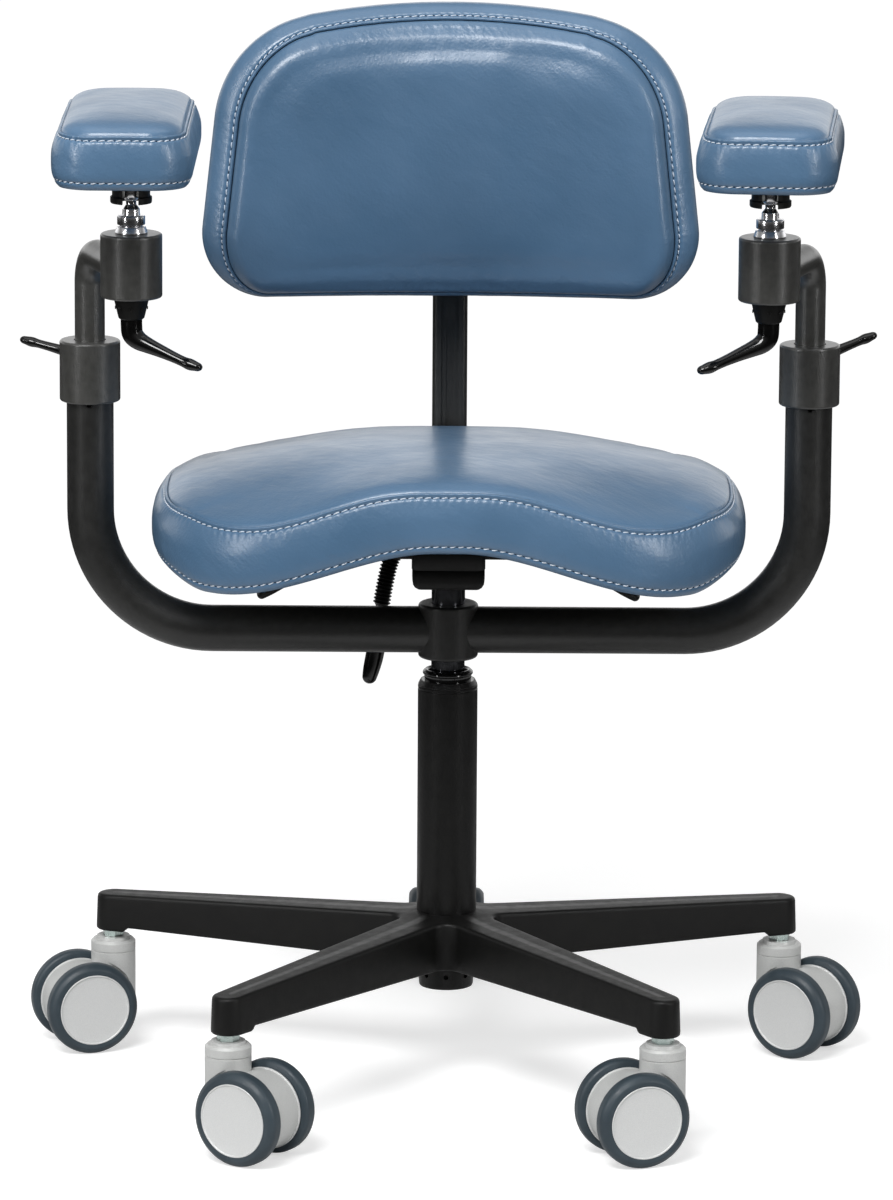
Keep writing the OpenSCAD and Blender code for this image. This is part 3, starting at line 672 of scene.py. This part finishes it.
    def simulate(self, count, pressure, cap):
        """Blows the coarse cushion up as cloth, held at its seams, and keeps how far it moved."""
        rings, marks = self.rings(count, False)
        points, faces = loft(rings)
        piece = stand("blown", mesh("blown", points, faces))
        starts = ring_starts(rings)
        held = piece.vertex_groups.new(name="held")
        for row in (marks["crease"], marks["hem"], *range(marks["edge"], len(rings))):
            held.add(list(range(int(starts[row]), int(starts[row + 1]))), 1.0, "ADD")
        held.add([len(points) - 1], 1.0, "ADD")
        cloth = piece.modifiers.new("cloth", "CLOTH")
        for setting, value in (("vertex_group_mass", "held"), ("quality", 6), ("mass", 0.3),
                               ("tension_stiffness", 25), ("compression_stiffness", 25),
                               ("shear_stiffness", 12), ("bending_stiffness", 3),
                               ("use_pressure", True), ("uniform_pressure_force", pressure)):
            setattr(cloth.settings, setting, value)
        cloth.settings.effector_weights.gravity = 0
        cloth.collision_settings.use_collision = False
        scene = bpy.context.scene
        for step in range(1, CLOTH_FRAMES + 1):
            scene.frame_set(step)
        blown = piece.evaluated_get(bpy.context.evaluated_depsgraph_get())
        after = np.array([v.co for v in blown.data.vertices], float) / MM
        scene.frame_set(1)
        bpy.data.objects.remove(piece)
        shift = after - points
        length = np.linalg.norm(shift, axis=1, keepdims=True)
        self.shift = shift * np.minimum(1, cap / np.maximum(length, 1e-6))
        self.tree = kdtree.KDTree(len(points))
        for i, p in enumerate(points):
            self.tree.insert(p, i)
        self.tree.balance()

    def swell(self, points):
        """The points moved as the simulated skin near them moved."""
        moved_points = points.copy()
        for i, p in enumerate(points):
            near = self.tree.find_n(p, 4)
            weights = np.array([1 / (distance + 0.5) ** 2 for _, _, distance in near])
            shifts = self.shift[[index for _, index, _ in near]]
            moved_points[i] += weights @ shifts / weights.sum()
        return moved_points

    def build(self, name, node, body, stitches, coarse, pressure, cap):
        count = stitches * COLUMNS
        self.strength = 0.75 + 0.35 * self.wander(count, 14)
        self.folds = self.wander(count, 9)
        self.beat = np.cos(2 * np.pi * np.arange(count) / COLUMNS)
        rings, marks = self.rings(count, True)
        self.simulate(coarse, pressure, cap)
        rings = [self.swell(ring) for ring in rings]
        shell = loft(rings)
        cover = make(name, [shell], LEATHER, body)
        # The second material, on the strips beside the crease, is painted shade.
        cover.data.materials.append(PAINTED_SEAM_SHADE)
        self.shade_crease(cover, rings, marks["crease"])
        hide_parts(node)
        self.sew(cover, rings, marks, stitches, name, body)
        return cover

    def shade_crease(self, cover, rings, row):
        """The strips on each side of the crease get the near-black seam material: painted shade for
        the shadow in the seam's fold.
        """
        starts = ring_starts(rings)
        low, high = starts[row - 1], starts[row + 2]
        index = np.zeros(len(cover.data.polygons), int)
        for i, polygon in enumerate(cover.data.polygons):
            if all(low <= v < high for v in polygon.vertices):
                index[i] = 1
        cover.data.polygons.foreach_set("material_index", index)

    def sew(self, cover, rings, marks, stitches, name, body):
        """Stitches along the welt and the hem, and dark lenses at the needle holes that are painted
        shade.
        """
        normals = np.array([v.normal for v in cover.data.vertices], float)
        starts = ring_starts(rings)
        threads, holes = [], []
        for key, slant in (("welt", 0.35), ("hem", 0.55)):
            row = marks[key]
            ring = rings[row]
            away = normals[starts[row]:starts[row] + len(ring)]
            down = unit(rings[row + 2] - rings[row - 2])
            ring, away, down = (np.vstack([part, part[:COLUMNS]]) for part in (ring, away, down))
            column = np.arange(len(ring))
            for k in range(stitches):
                at = k * COLUMNS + np.array([0.2, 0.35, 0.5, 0.65, 0.8]) * COLUMNS
                centre, out, fall = (
                    np.stack([np.interp(at, column, part[:, c]) for c in range(3)], 1)
                    for part in (ring, away, down))
                lift = np.array([-0.2, 0.3, 0.45, 0.3, -0.2])[:, None]
                lean = np.linspace(slant, -slant, 5)[:, None]
                threads.append(tube(centre + out * lift + fall * lean, 0.48, 6, up=out[0], dome=1))
                # A dark lens on the surface, painted shade for the needle hole.
                spot = ring[k * COLUMNS] + away[k * COLUMNS] * 0.1
                holes.append(moved(PIT, spot, x=down[k * COLUMNS], z=away[k * COLUMNS]))
        make(name + "_stitches", threads, THREAD, body)
        make(name + "_needle_holes", holes, PAINTED_HOLE_SHADE, body)


PIT = revolve([(0, -0.4), (0.95, 0), (0, 0.15)], 8)


# ---------------------------------------------------------------- seat
def seat_underside(xy):
    """Height of the seat's lower edge and of what follows it: arched over the saddle's middle."""
    x = np.abs(xy[:, 0])
    return box("seat_cushion")[0][2] + 40 - 40 * ease(10, 190, x) + 14 * ease(196, 246, x)


def build_seat():
    low, high = box("seat_cushion")
    half_x, half_y = (high[0] - low[0]) / 2, (high[1] - low[1]) / 2
    centre_y = (high[1] + low[1]) / 2
    turn = np.linspace(0, 2 * np.pi, 3000, endpoint=False)
    power = 2 / 3.3
    line = np.stack([half_x * np.sign(np.cos(turn)) * np.abs(np.cos(turn)) ** power,
                     centre_y + half_y * np.sign(np.sin(turn)) * np.abs(np.sin(turn)) ** power], 1)
    ridge = high[2]
    crest_y = 5

    def top(xy, depth):
        x, y = np.abs(xy[:, 0]), xy[:, 1]
        crest = ridge - 18.5 * ease(50, 225, x) - 8 * ease(205, 248, x)
        forward = np.clip((crest_y - y) / (crest_y + 190), 0, 1.05)
        nose = (2.5 - 22 * ease(20, 165, x) + 8 * ease(175, 240, x)) * forward ** 1.9
        soft = 16
        back = soft * np.logaddexp(0, (y - crest_y) / soft)
        return crest + nose - 0.1 * back - 5.5 * np.exp(-np.asarray(depth) / 9)

    def seam_in(normals):
        return 5 + 8 * np.abs(normals[:, 0]) ** 1.5

    seat = Cushion(line, top, seat_underside, seam_in, 6.0, lambda ring: ring, seed=11, pucker=0.42)
    seat.build("seat_cover", "seat_cushion", "upper", stitches=224, coarse=192,
               pressure=3.0, cap=6)


def build_pan():
    """The moulded shell that closes the seat's underside, and its pad on the mechanism."""
    low, high = box("seat_pan")
    half_x, half_y = (high[0] - low[0]) / 2, (high[1] - low[1]) / 2
    centre_y = (high[1] + low[1]) / 2
    corners = corner_circles(half_x, half_y, 100.0, centre_y)
    base, normals = even(round_circles(corners), 160)
    middle_xy = np.array([0, centre_y])
    rings = []
    for inset, share, depth in ((2, 0.2, -1), (2, 0.5, -1), (2, 0.8, -1), (2, 1, -1), (0, 1, -0.5),
                                (0, 1, 1), (1, 1, 2.4), (5, 1, 4), (14, 1, 6.5), (26, 1, 8.5),
                                (26, 0.8, 9), (26, 0.6, 9), (26, 0.4, 9), (26, 0.2, 9)):
        xy = middle_xy + (base - normals * inset - middle_xy) * share
        rings.append(np.column_stack([xy, seat_underside(xy) - depth]))
    housing_low, housing_high = box("mech_housing")
    plan = round_circles([(a * 26, y, 8) for a in (-1, 1)
                          for y in (housing_low[1] + 10, housing_high[1] - 10)])
    rest = housing_high[2]
    pad = slab(plan, [(8, rest - 0.2), (0.5, rest - 0.2), (0, rest + 0.5), (0, rest + 14),
                      (8, rest + 14)])
    pan = make("seat_pan_shell", [loft(rings), pad], PLASTIC, "upper")
    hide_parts("seat_pan")


# ---------------------------------------------------------------- backrest
def back_line():
    """Front outline of the backrest: small lower and large upper corners, and a crowned top."""
    low, high = box("back_cushion")
    half = high[0]
    small, large, crown, drop = 56, 95, 705, 10
    circles = []
    for s in (-1, 1):
        circles.append((s * (half - small), low[2] + small, small))
        circles.append((s * (half - large - drop), high[2] - large - drop, large))
    reach = crown - small
    for a in np.radians(np.linspace(-9.5, 9.5, 14)):
        circles.append((reach * math.sin(a), high[2] - crown + reach * math.cos(a), small))
    return round_circles(circles)


def back_place(rear):
    """Maps plan x, plan y and height onto x, z and the way forward from the bowed rear face."""
    half = box("back_cushion")[1][0]

    def place(ring):
        bow = 22 * (ring[:, 0] / half) ** 2
        return np.column_stack([ring[:, 0], rear - bow - ring[:, 2], ring[:, 1]])

    return place


def build_back():
    rear = 189.0         # the cushion's rear face at the middle
    fullest = 722        # height at which the panel stands out most

    def top(xy, depth):
        depth = np.asarray(depth)
        roll = 12 * (1 - np.exp(-depth / 6)) + 0.8 * hill(depth, 11, 7) - 0.3 * hill(depth, 25, 9)
        lean = -5.5 * ((xy[:, 1] - fullest) / 130) ** 2
        return 42 + roll + lean + 1.5 * ease(60, 160, np.abs(xy[:, 0]))

    def under(xy):
        return np.zeros(len(xy))

    def seam_in(normals):
        sideways = np.abs(normals[:, 0])
        return 5 + 16 * sideways ** 1.6 + 8 * np.clip(normals[:, 1], 0, 1) ** 1.5

    back = Cushion(back_line(), top, under, seam_in, 7.0, back_place(rear), seed=23, pucker=0.16)
    back.build("back_cover", "back_cushion", "back_post", stitches=176, coarse=160,
               pressure=1.5, cap=3)
    thick = 8
    shell = slab(back_line(), [(30, 0), (13, 0), (10.8, 0.6), (10, 2.2), (10, 6), (10.8, 7.6),
                               (13, thick), (30, thick)])
    points = back_place(rear + thick)(shell[0])
    plate = make("back_shell_cover", [outward((points, shell[1]))], PLASTIC, "back_post")
    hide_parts("back_shell")


# ---------------------------------------------------------------- arm pads
def build_pad(side):
    s = SIDES[side]
    low, high = box("arm_pad_" + side)
    centre = (low + high) / 2
    yaw = math.radians(-4.5) if s > 0 else 0.0
    outline = round_circles(corner_circles(114 / 2, 240 / 2, 34))
    thick = high[2] - low[2]

    def top(xy, depth):
        depth = np.asarray(depth)
        across = 1 - (xy[:, 0] / 60) ** 2
        ends = ease(60, 120, np.abs(xy[:, 1]))
        return thick - 5.5 + 8 * (1 - np.exp(-depth / 7.5)) + 1.5 * across - 2.5 * ends

    def under(xy):
        return np.full(len(xy), -1.6)

    def seam_in(normals):
        return 4 + 4 * np.abs(normals[:, 0])

    def place(ring):
        c, n = math.cos(yaw), math.sin(yaw)
        x = ring[:, 0] * c - ring[:, 1] * n
        y = ring[:, 0] * n + ring[:, 1] * c
        lean = -2 - 0.0167 * ring[:, 1] if s > 0 else 0
        return np.column_stack([x + centre[0], y + centre[1], ring[:, 2] + low[2] + lean])

    pad = Cushion(outline, top, under, seam_in, 6.0, place, seed=31 + s, pucker=0.42)
    pad.build("arm_pad_cover_" + side, "arm_pad_" + side, "pad_" + side, stitches=96,
              coarse=96, pressure=3.0, cap=4)


# ---------------------------------------------------------------- base
BASE_R = 300.0       # from the column's axis to a caster's stem
LEG_ANGLES = [18, 90, 162, 234, 306]
LEG_ROOT = 22.0      # half a leg's width where its straight sides meet the axis
LEG_TIP = 14.5       # half its width at the stem
WEB = 44.0           # from the axis to the hollow between two legs
RIB_HEIGHT = 9


def underside(far):
    """Height of a leg's lower edge at a distance from the axis."""
    return 101.3 + 4.7 * (far - 50) / 234


def leg_half_outline():
    """Half of a leg's plan, from its tip to the bisector between two legs, with skeleton points."""
    root, end = LEG_ROOT, LEG_TIP
    slant = math.atan((root - end) / BASE_R)
    bisector = math.radians(36)
    grip = math.sin(bisector + slant)
    far = (WEB - root * math.cos(slant)) / (1 - grip)
    radius = far - WEB
    centre = far * np.array([math.cos(bisector), math.sin(bisector)])
    outline, skeleton = [], []
    for a in np.linspace(0, math.pi / 2, 9):
        outline.append((BASE_R + end * math.cos(a), end * math.sin(a)))
        skeleton.append((BASE_R, 0))
    touch = centre - radius * np.array([math.sin(slant), math.cos(slant)])
    for x in [296, 291, 288, 286.5, 285, 283.5, 282, 279] + list(np.linspace(272, touch[0], 20)):
        outline.append((x, root - (root - end) * x / BASE_R))
        skeleton.append((x, 0))
    first = math.atan2(touch[1] - centre[1], touch[0] - centre[0])
    last = bisector - math.pi
    for f in np.linspace(0, 1, 9)[1:]:
        a = first + (last - first) * f
        outline.append(centre + radius * np.array([math.cos(a), math.sin(a)]))
        skeleton.append((touch[0] * (1 - f), 0))
    return np.array(outline, float), np.array(skeleton, float)


def star_outline():
    """The whole star's outline and skeleton, anticlockwise."""
    half, bones = leg_half_outline()
    flip = np.array([1, -1])
    leg = np.vstack([half[::-1] * flip, half[1:]])[:-1]
    bone = np.vstack([bones[::-1] * flip, bones[1:]])[:-1]
    outline, skeleton = [], []
    for angle in LEG_ANGLES:
        c, s = math.cos(math.radians(angle)), math.sin(math.radians(angle))
        turn = np.array([[c, s], [-s, c]])
        outline.append(leg @ turn)
        skeleton.append(bone @ turn)
    return np.vstack(outline), np.vstack(skeleton)


def build_base():
    outline, bones = star_outline()
    along = np.roll(outline, -1, axis=0) - np.roll(outline, 1, axis=0)
    normals = unit(np.stack([along[:, 1], -along[:, 0]], 1))

    def upper(xy):
        far = np.linalg.norm(xy, axis=1)
        return 143 - 0.0317 * far + 2.2 * np.exp(-np.clip(far - 26, 0, None) / 7)

    def lower(xy):
        far = np.linalg.norm(xy, axis=1)
        return underside(np.clip(far, 50, 284)) - 4 * ease(282.5, 286.5, far)

    def recess(xy):
        far = np.linalg.norm(xy, axis=1)
        return RIB_HEIGHT * ease(60, 66, far) * (1 - ease(262, 268, far))

    def ring(inset, share, height):
        edge = outline - normals * inset
        xy = edge + (bones - edge) * share
        return np.column_stack([xy, height(xy)])

    rings = [ring(7.6, share, upper) for share in (1.0, 0.6, 0.3, 0.0)]
    for inset, drop in ((5.0, 0), (3.7, 0.1), (2.9, 0.35), (2.2, 0.85), (1.7, 1.5), (1.4, 2.4),
                        (1.2, 3.6)):
        rings.append(ring(inset, 0.0, lambda xy, drop=drop: upper(xy) - drop))
    rings.append(ring(0.3, 0.0, lambda xy: lower(xy) + 3))
    rings.append(ring(0.4, 0.0, lambda xy: lower(xy) + 1))
    rings.append(ring(1.4, 0.0, lower))
    rings.append(ring(4.0, 0.0, lower))
    for inset, share in ((4.6, 0.0), (5.6, 0.0), (5.6, 0.5), (5.6, 1.0)):
        climb = 0.5 if inset == 4.6 else 1.0
        rings.append(ring(inset, share, lambda xy, climb=climb: lower(xy) + climb * recess(xy)))
    base = make("base_casting", [loft(rings)], NYLON, "root")
    shape = bmesh.new()
    shape.from_mesh(base.data)
    bmesh.ops.remove_doubles(shape, verts=shape.verts, dist=0.00005)
    bmesh.ops.dissolve_degenerate(shape, edges=shape.edges, dist=0.00005)
    bmesh.ops.recalc_face_normals(shape, faces=shape.faces)
    shape.to_mesh(base.data)
    shape.free()
    base.data.shade_smooth()
    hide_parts("base_star")
    ribs = []
    for angle in LEG_ANGLES:
        a = math.radians(angle)
        along_leg = np.array([math.cos(a), math.sin(a), 0])
        for far in (113.5, 163.5, 213.5):
            width = 2 * (LEG_ROOT - (LEG_ROOT - LEG_TIP) * far / BASE_R) - 9
            plan = round_circles([(x, y, 0.6) for x in (-1, 1) for y in (-width / 2, width / 2)],
                                 400)
            rib = slab(plan, [(0, 0), (0, RIB_HEIGHT)], 24)
            place = along_leg * far + np.array([0, 0, underside(far) + 1])
            ribs.append(moved(rib, place, x=along_leg))
    make("leg_ribs", ribs, NYLON, "root")


# ---------------------------------------------------------------- casters
WHEEL_R = 39.25      # over the tyre
WHEEL_OUT = 25       # from a caster's middle to each wheel's
RIM_OUT = 15.4       # and to each rim of the drum between the wheels


def wheel_shells():
    """Tyre, and rim with its cap, of a wheel turned about Z, with its outer face at the top."""
    tyre = fillet([(29.8, -7.4, 0.5), (33.5, -7.9, 2), (WHEEL_R, -6.2, 4.5), (WHEEL_R, 4.4, 6.5),
                   (34.5, 8.3, 4), (30.6, 8.1, 0.6), (29.8, 7.0, 0)], 6)
    cap = fillet([(0, 7.6), (20, 7.6), (29.0, 7.6, 0.3), (29.3, 8.45, 0.4), (30.4, 8.45, 0.5),
                  (30.6, 7.2), (30.6, -6.6, 0.5), (29.6, -7.2, 0.6), (12, -7.2), (11.5, -7.9),
                  (4.2, -7.9), (0, -7.9)], 3)
    return revolve(tyre, 96), revolve(cap, 96)


def build_casters():
    tyre, cap = wheel_shells()
    for name in CASTERS:
        a, b = middle(f"caster_{name}_wheel_a"), middle(f"caster_{name}_wheel_b")
        axle = unit(b - a)
        ahead = np.array([axle[1], -axle[0], 0])
        hub = (a + b) / 2
        for end, way in (("a", -1), ("b", 1)):
            node = f"caster_{name}_wheel_{end}"
            body = f"wheel_{name}_{end}"
            turned = {"origin": hub + axle * way * WHEEL_OUT, "x": ahead, "z": axle * way}
            ring = make(f"tyre_{name}_{end}", [moved(tyre, **turned)], TYRE, body)
            disc = make(f"cap_{name}_{end}", [moved(cap, **turned)], SILVER, body,
                        sharp=50)
            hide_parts(node)
            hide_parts(node)
        rims = []
        rim = fillet([(31.4, -1.2, 0.2), (33.9, -1.2, 0.5), (33.9, 1.0, 0.8), (31.4, 1.0, 0.2)], 3)
        for way in (-1, 1):
            rims.append(moved(revolve(rim, 96), hub + axle * way * RIM_OUT, x=ahead, z=axle * way))
        make(f"drum_rims_{name}", rims, SILVER, f"caster_{name}")


# ---------------------------------------------------------------- levers
COLLAR_LEVER_Z = 604


def lever_arm(name, body, stations, origin, way, rise, up):
    """A glossy arm through stations of (along way, along rise, radius, flatness)."""
    line = spline(stations, 5)
    path = origin + way * line[:, :1] + np.array(rise) * line[:, 1:2]
    shell = tube(path, line[:, 2], 28, up=up, flat=line[:, 3], dome=4)
    return make(name, [shell], GLOSS, body)


def build_barrel_lever(side):
    s = SIDES[side]
    centre = middle("ball_stud_" + side)
    way = np.array([math.cos(math.radians(19)) * -s, -math.sin(math.radians(19)), 0])
    origin = np.array([centre[0], centre[1], 0])
    cone = fillet([(0, 665.5), (9.4, 665.5, 0.4), (10.6, 666.5, 0.8), (14.4, 682.2, 0.8),
                   (14, 683, 0.3), (0, 683)], 3)
    button = revolve(fillet([(0, 0), (1.5, 0), (1.5, 0.9, 0.4), (0, 0.9)], 2), 16)
    crimps = []
    for a in np.radians(range(0, 360, 45)):
        spot = origin + np.array([12.6 * math.cos(a), 12.6 * math.sin(a), 675])
        crimps.append(moved(button, spot, x=(0, 0, 1), z=(math.cos(a), math.sin(a), -0.2)))
    node = "barrel_lever_" + side
    hub = make("barrel_lever_hub_" + side, [moved(revolve(cone, 48), origin)] + crimps, PLASTIC,
               node, sharp=50)
    stations = [(0, 668, 8.8, 1.0), (0, 660, 8.8, 1.0), (1, 653, 8.7, 1.0), (6, 648, 8.2, 0.95),
                (14, 644.5, 7.2, 0.9), (25, 640.5, 6.2, 0.85), (37, 636, 5.4, 0.8),
                (45, 633, 5.2, 0.8), (51, 631, 5.6, 0.85), (57, 629.5, 4.6, 0.8)]
    arm = lever_arm("barrel_lever_arm_" + side, node, stations, origin, way, (0, 0, 1), up=way)
    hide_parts(node)
    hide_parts(node)


def build_collar_lever(side):
    s = SIDES[side]
    centre = middle("collar_" + side)
    tilt = math.radians(13 if s < 0 else 21)
    way = np.array([s * math.cos(tilt), 0, math.sin(tilt)])
    origin = np.array([centre[0], 0, COLLAR_LEVER_Z])
    cone = fillet([(0, 25.7), (10.2, 25.7, 0.5), (8.8, 40, 1.5), (8.4, 50, 2.5), (0, 50)], 3)
    stud = [(0, 20), (3.9, 20), (3.9, 26), (0, 26)]
    shells = [moved(revolve(p, 40), origin, x=(1, 0, 0), z=(0, 1, 0)) for p in (cone, stud)]
    node = "collar_lever_" + side
    hub = make("collar_lever_hub_" + side, shells, PLASTIC, node, sharp=50)
    stations = [(-1, 44, 7.6, 1), (6, 47, 7.2, 0.95), (14, 51, 6.2, 0.85), (26, 55.5, 5.4, 0.8),
                (38, 58.5, 4.9, 0.75), (47, 60.5, 4.7, 0.75), (53, 61.5, 5.2, 0.8),
                (59, 62.5, 4.4, 0.75)]
    arm = lever_arm("collar_lever_arm_" + side, node, stations, origin, way, (0, 1, 0),
                    up=(0, 0, 1))
    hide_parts(node)
    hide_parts(node)


def build_side_levers():
    """The lift and tilt levers, cranked down to flat grips under the seat's sides."""
    for node, s in (("lift_lever", 1), ("tilt_lever", -1)):
        low, high = box(node)
        y = (low[1] + high[1]) / 2
        z = high[2] - 4
        stations = [(20, 0, 4, 1), (60, 0, 4, 1), (80, 0, 4, 1), (94, -2, 4.1, 1),
                    (108, -7.5, 4.4, 1.2), (122, -15, 4.6, 1.6), (136, -23, 4.7, 2.2),
                    (147, -29.5, 4.6, 2.5), (155, -34, 4.2, 2.4)]
        line = spline(stations, 5)
        path = np.column_stack([s * line[:, 0], np.full(len(line), y), z + line[:, 1]])
        rod = tube(path, line[:, 2], 24, up=(0, 1, 0), flat=line[:, 3], dome=4)
        piece = make(node + "_handle", [rod], PLASTIC, node)
        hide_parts(node)


def build_back_lever():
    """The hanging lever: a bellows out of the housing's side, and a grip below it."""
    low, high = box("lever_bellows")
    y = (low[1] + high[1]) / 2
    start = (-29, high[2] - 7.5)
    bends = [start, (-37, 451.5), (-44, 443.5), (-49.5, 431), (-53.5, 413), (-56.2, 397)]
    line = spline(bends, 12)
    gone = np.concatenate([[0], np.cumsum(np.linalg.norm(np.diff(line, axis=0), axis=1))])
    steps, fold = 200, 3.1
    at = np.linspace(0, gone[-1], steps)
    path = np.column_stack([np.interp(at, gone, line[:, 0]), np.full(steps, y),
                            np.interp(at, gone, line[:, 1])])
    radius = 5.9 + 1.6 * (0.5 - 0.5 * np.cos(2 * np.pi * at / fold)) ** 1.4
    skin = make("bellows", [tube(path, radius, 28, up=(0, 1, 0), dome=1)], RUBBER, "back_lever")
    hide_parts("lever_bellows")
    rod = [(-54.5, y, 409), (-56, y, 390), (-57.5, y, 374)]
    stations = [(-57, y, 378, 5.0, 1), (-58, y, 372, 5.6, 1), (-60, y, 362, 7.4, 0.8),
                (-62.3, y, 350, 7.6, 0.75), (-64.6, y, 340, 7.0, 0.8), (-66, y, 334, 6.2, 0.85)]
    line = spline(stations, 6)
    grip = tube(line[:, :3], line[:, 3], 28, up=(0, 1, 0), flat=line[:, 4], dome=4)
    stub = tube([(-20, y, start[1]), (-31, y, start[1])], 4, 20, up=(0, 1, 0), dome=1)
    rod = tube(rod, 4, 20, up=(0, 1, 0), dome=1)
    handle = make("back_lever_handle", [grip, rod, stub], GLOSS, "back_lever")
    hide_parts("back_lever")


# ---------------------------------------------------------------- studs and housing
BALL_Z = 770
BALL_R = 8.5


def build_stud(side):
    """The ball stud with its nut and flange, turned from one outline."""
    centre = middle("ball_stud_" + side)
    origin = np.array([centre[0], centre[1], 0])
    ball = [(BALL_R * math.cos(a), BALL_Z + BALL_R * math.sin(a))
            for a in np.radians(np.linspace(-60, 85, 24))]
    neck = [(0, 736.1), (13.2, 736.1, 0.3), (13.4, 737, 0.5), (11.6, 741.6, 0.5), (9.4, 742),
            (9.4, 743.2), (11.4, 743.2, 0.5), (11.4, 750.6, 0.8), (7.2, 750.8, 0.3),
            (7.0, 756, 1.0), (4.2, 759.5, 1.5)]
    shell = revolve(fillet(neck + ball + [(0, BALL_Z + BALL_R)], 3), 64)
    stud = make("ball_stud_chrome_" + side, [moved(shell, origin)], CHROME, "stud_" + side,
                sharp=40)
    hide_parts("ball_stud_" + side)


def build_housing():
    """The mechanism's block and the tray-shaped cover below it."""
    low, high = box("mech_housing")
    cover_low, cover_high = box("mech_cover")
    half = high[0]
    root = 88            # the block ends here, and two ears go on to hold the backrest's hinge
    ear = 15.5           # inner face of each ear

    def plan(grow):
        return round_circles([(a * (half + grow - 8), low[1] - grow + 8, 8) for a in (-1, 1)]
                             + [(a * (half + grow - 2), root - 2, 2) for a in (-1, 1)])

    def ears(grow):
        inner, outer = ear + 3, half + grow - 3
        ends = (root - 12, high[1] + grow - 3)
        return [round_circles([(a * x, y, 3) for x in (inner, outer) for y in ends])
                for a in (-1, 1)]

    block = [(12, low[2]), (0.6, low[2]), (0, low[2] + 0.6), (0, high[2] - 0.5), (0.4, high[2]),
             (12, high[2])]
    bottom, brim = cover_low[2], cover_high[2]
    tray = [(20, bottom), (7, bottom), (4.6, bottom + 0.5), (2.2, bottom + 2), (0.7, bottom + 4.4),
            (0.2, bottom + 7.5), (0, bottom + 11), (0, brim - 0.7), (0.5, brim - 0.1),
            (12, brim - 0.1)]
    tight = -0.4         # the cover is this much smaller than the block all round
    body = [slab(plan(0), block)]
    lid = [slab(plan(tight), tray)]
    for line in ears(0):
        body.append(slab(line, [(min(inset, 3), z) for inset, z in block]))
    for line in ears(tight):
        lid.append(slab(line, [(min(inset, 2), z + (3 if z < bottom + 3 else 0))
                               for inset, z in tray]))
    piece = make("mechanism_housing", body, PLASTIC, "upper", sharp=50)
    cover = make("mechanism_cover", lid, PLASTIC, "upper", sharp=50)
    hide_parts("mech_housing")
    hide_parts("mech_cover")
    washer = fillet([(14.2, bottom - 1.6, 0.3), (17.2, bottom - 1.6, 0.5),
                     (17.2, bottom + 0.2, 0.3), (14.2, bottom + 0.2, 0.3)], 3)
    make("lift_washer", [revolve(washer, 64)], STEEL, "upper")


def paint_nodes():
    """Materials of the CAD nodes that show as they are."""
    looks = {
        # The column's coat and the arm bar's coat are darker copies of the collars' powder coat:
        # painted shade.
        COLUMN_SHADED_COAT: ["column_tube"], GLOSS: ["column_bush"], CYLINDER: ["gas_cylinder"],
        STEEL: ["thrust_bearing", "piston_rod", "release_pin", "back_pin"], ZINC: ["caster_stems"],
        PLASTIC: ["arm_bar_bush", "back_carrier", "back_bracket", "back_knob", "collar_bush_left",
                  "collar_bush_right", "pad_bracket_left", "pad_bracket_right"],
        COAT: ["collar_left", "collar_right", "arm_tube_left", "arm_tube_right"],
        # The arm bar's darker coat is painted shade.
        BAR_SHADED_COAT: ["arm_bar", "back_upright"],
        LINER: ["ball_liner_left", "ball_liner_right"],
        FORK: [f"caster_{name}_housing" for name in CASTERS],
    }
    for skin, nodes in looks.items():
        for node in nodes:
            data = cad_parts[node].data
            data.materials.clear()
            data.materials.append(skin)


# ---------------------------------------------------------------- the scene
add_camera()
add_world()
add_floor()
add_softbox("top_light", (0, 0.1, 3.1), (0, 0, 0.4), 2.4, 1.8, 14)
add_softbox("left_light", (-2.5, -2.1, 1.5), (0, 0, 0.55), 0.25, 2.2, 32)
add_softbox("right_light", (2.5, -2.1, 1.5), (0, 0, 0.55), 0.25, 2.2, 32)
add_softbox("front_light", (-1.1, -3.5, 4.3), (0, 0, 0.7), 2.2, 1.6, 215)
bpy.context.scene.view_settings.view_transform = "Standard"

build_seat()
build_pan()
build_back()
for side_name in SIDES:
    build_pad(side_name)
    build_barrel_lever(side_name)
    build_collar_lever(side_name)
    build_stud(side_name)
build_base()
build_casters()
build_side_levers()
build_back_lever()
build_housing()
paint_nodes()
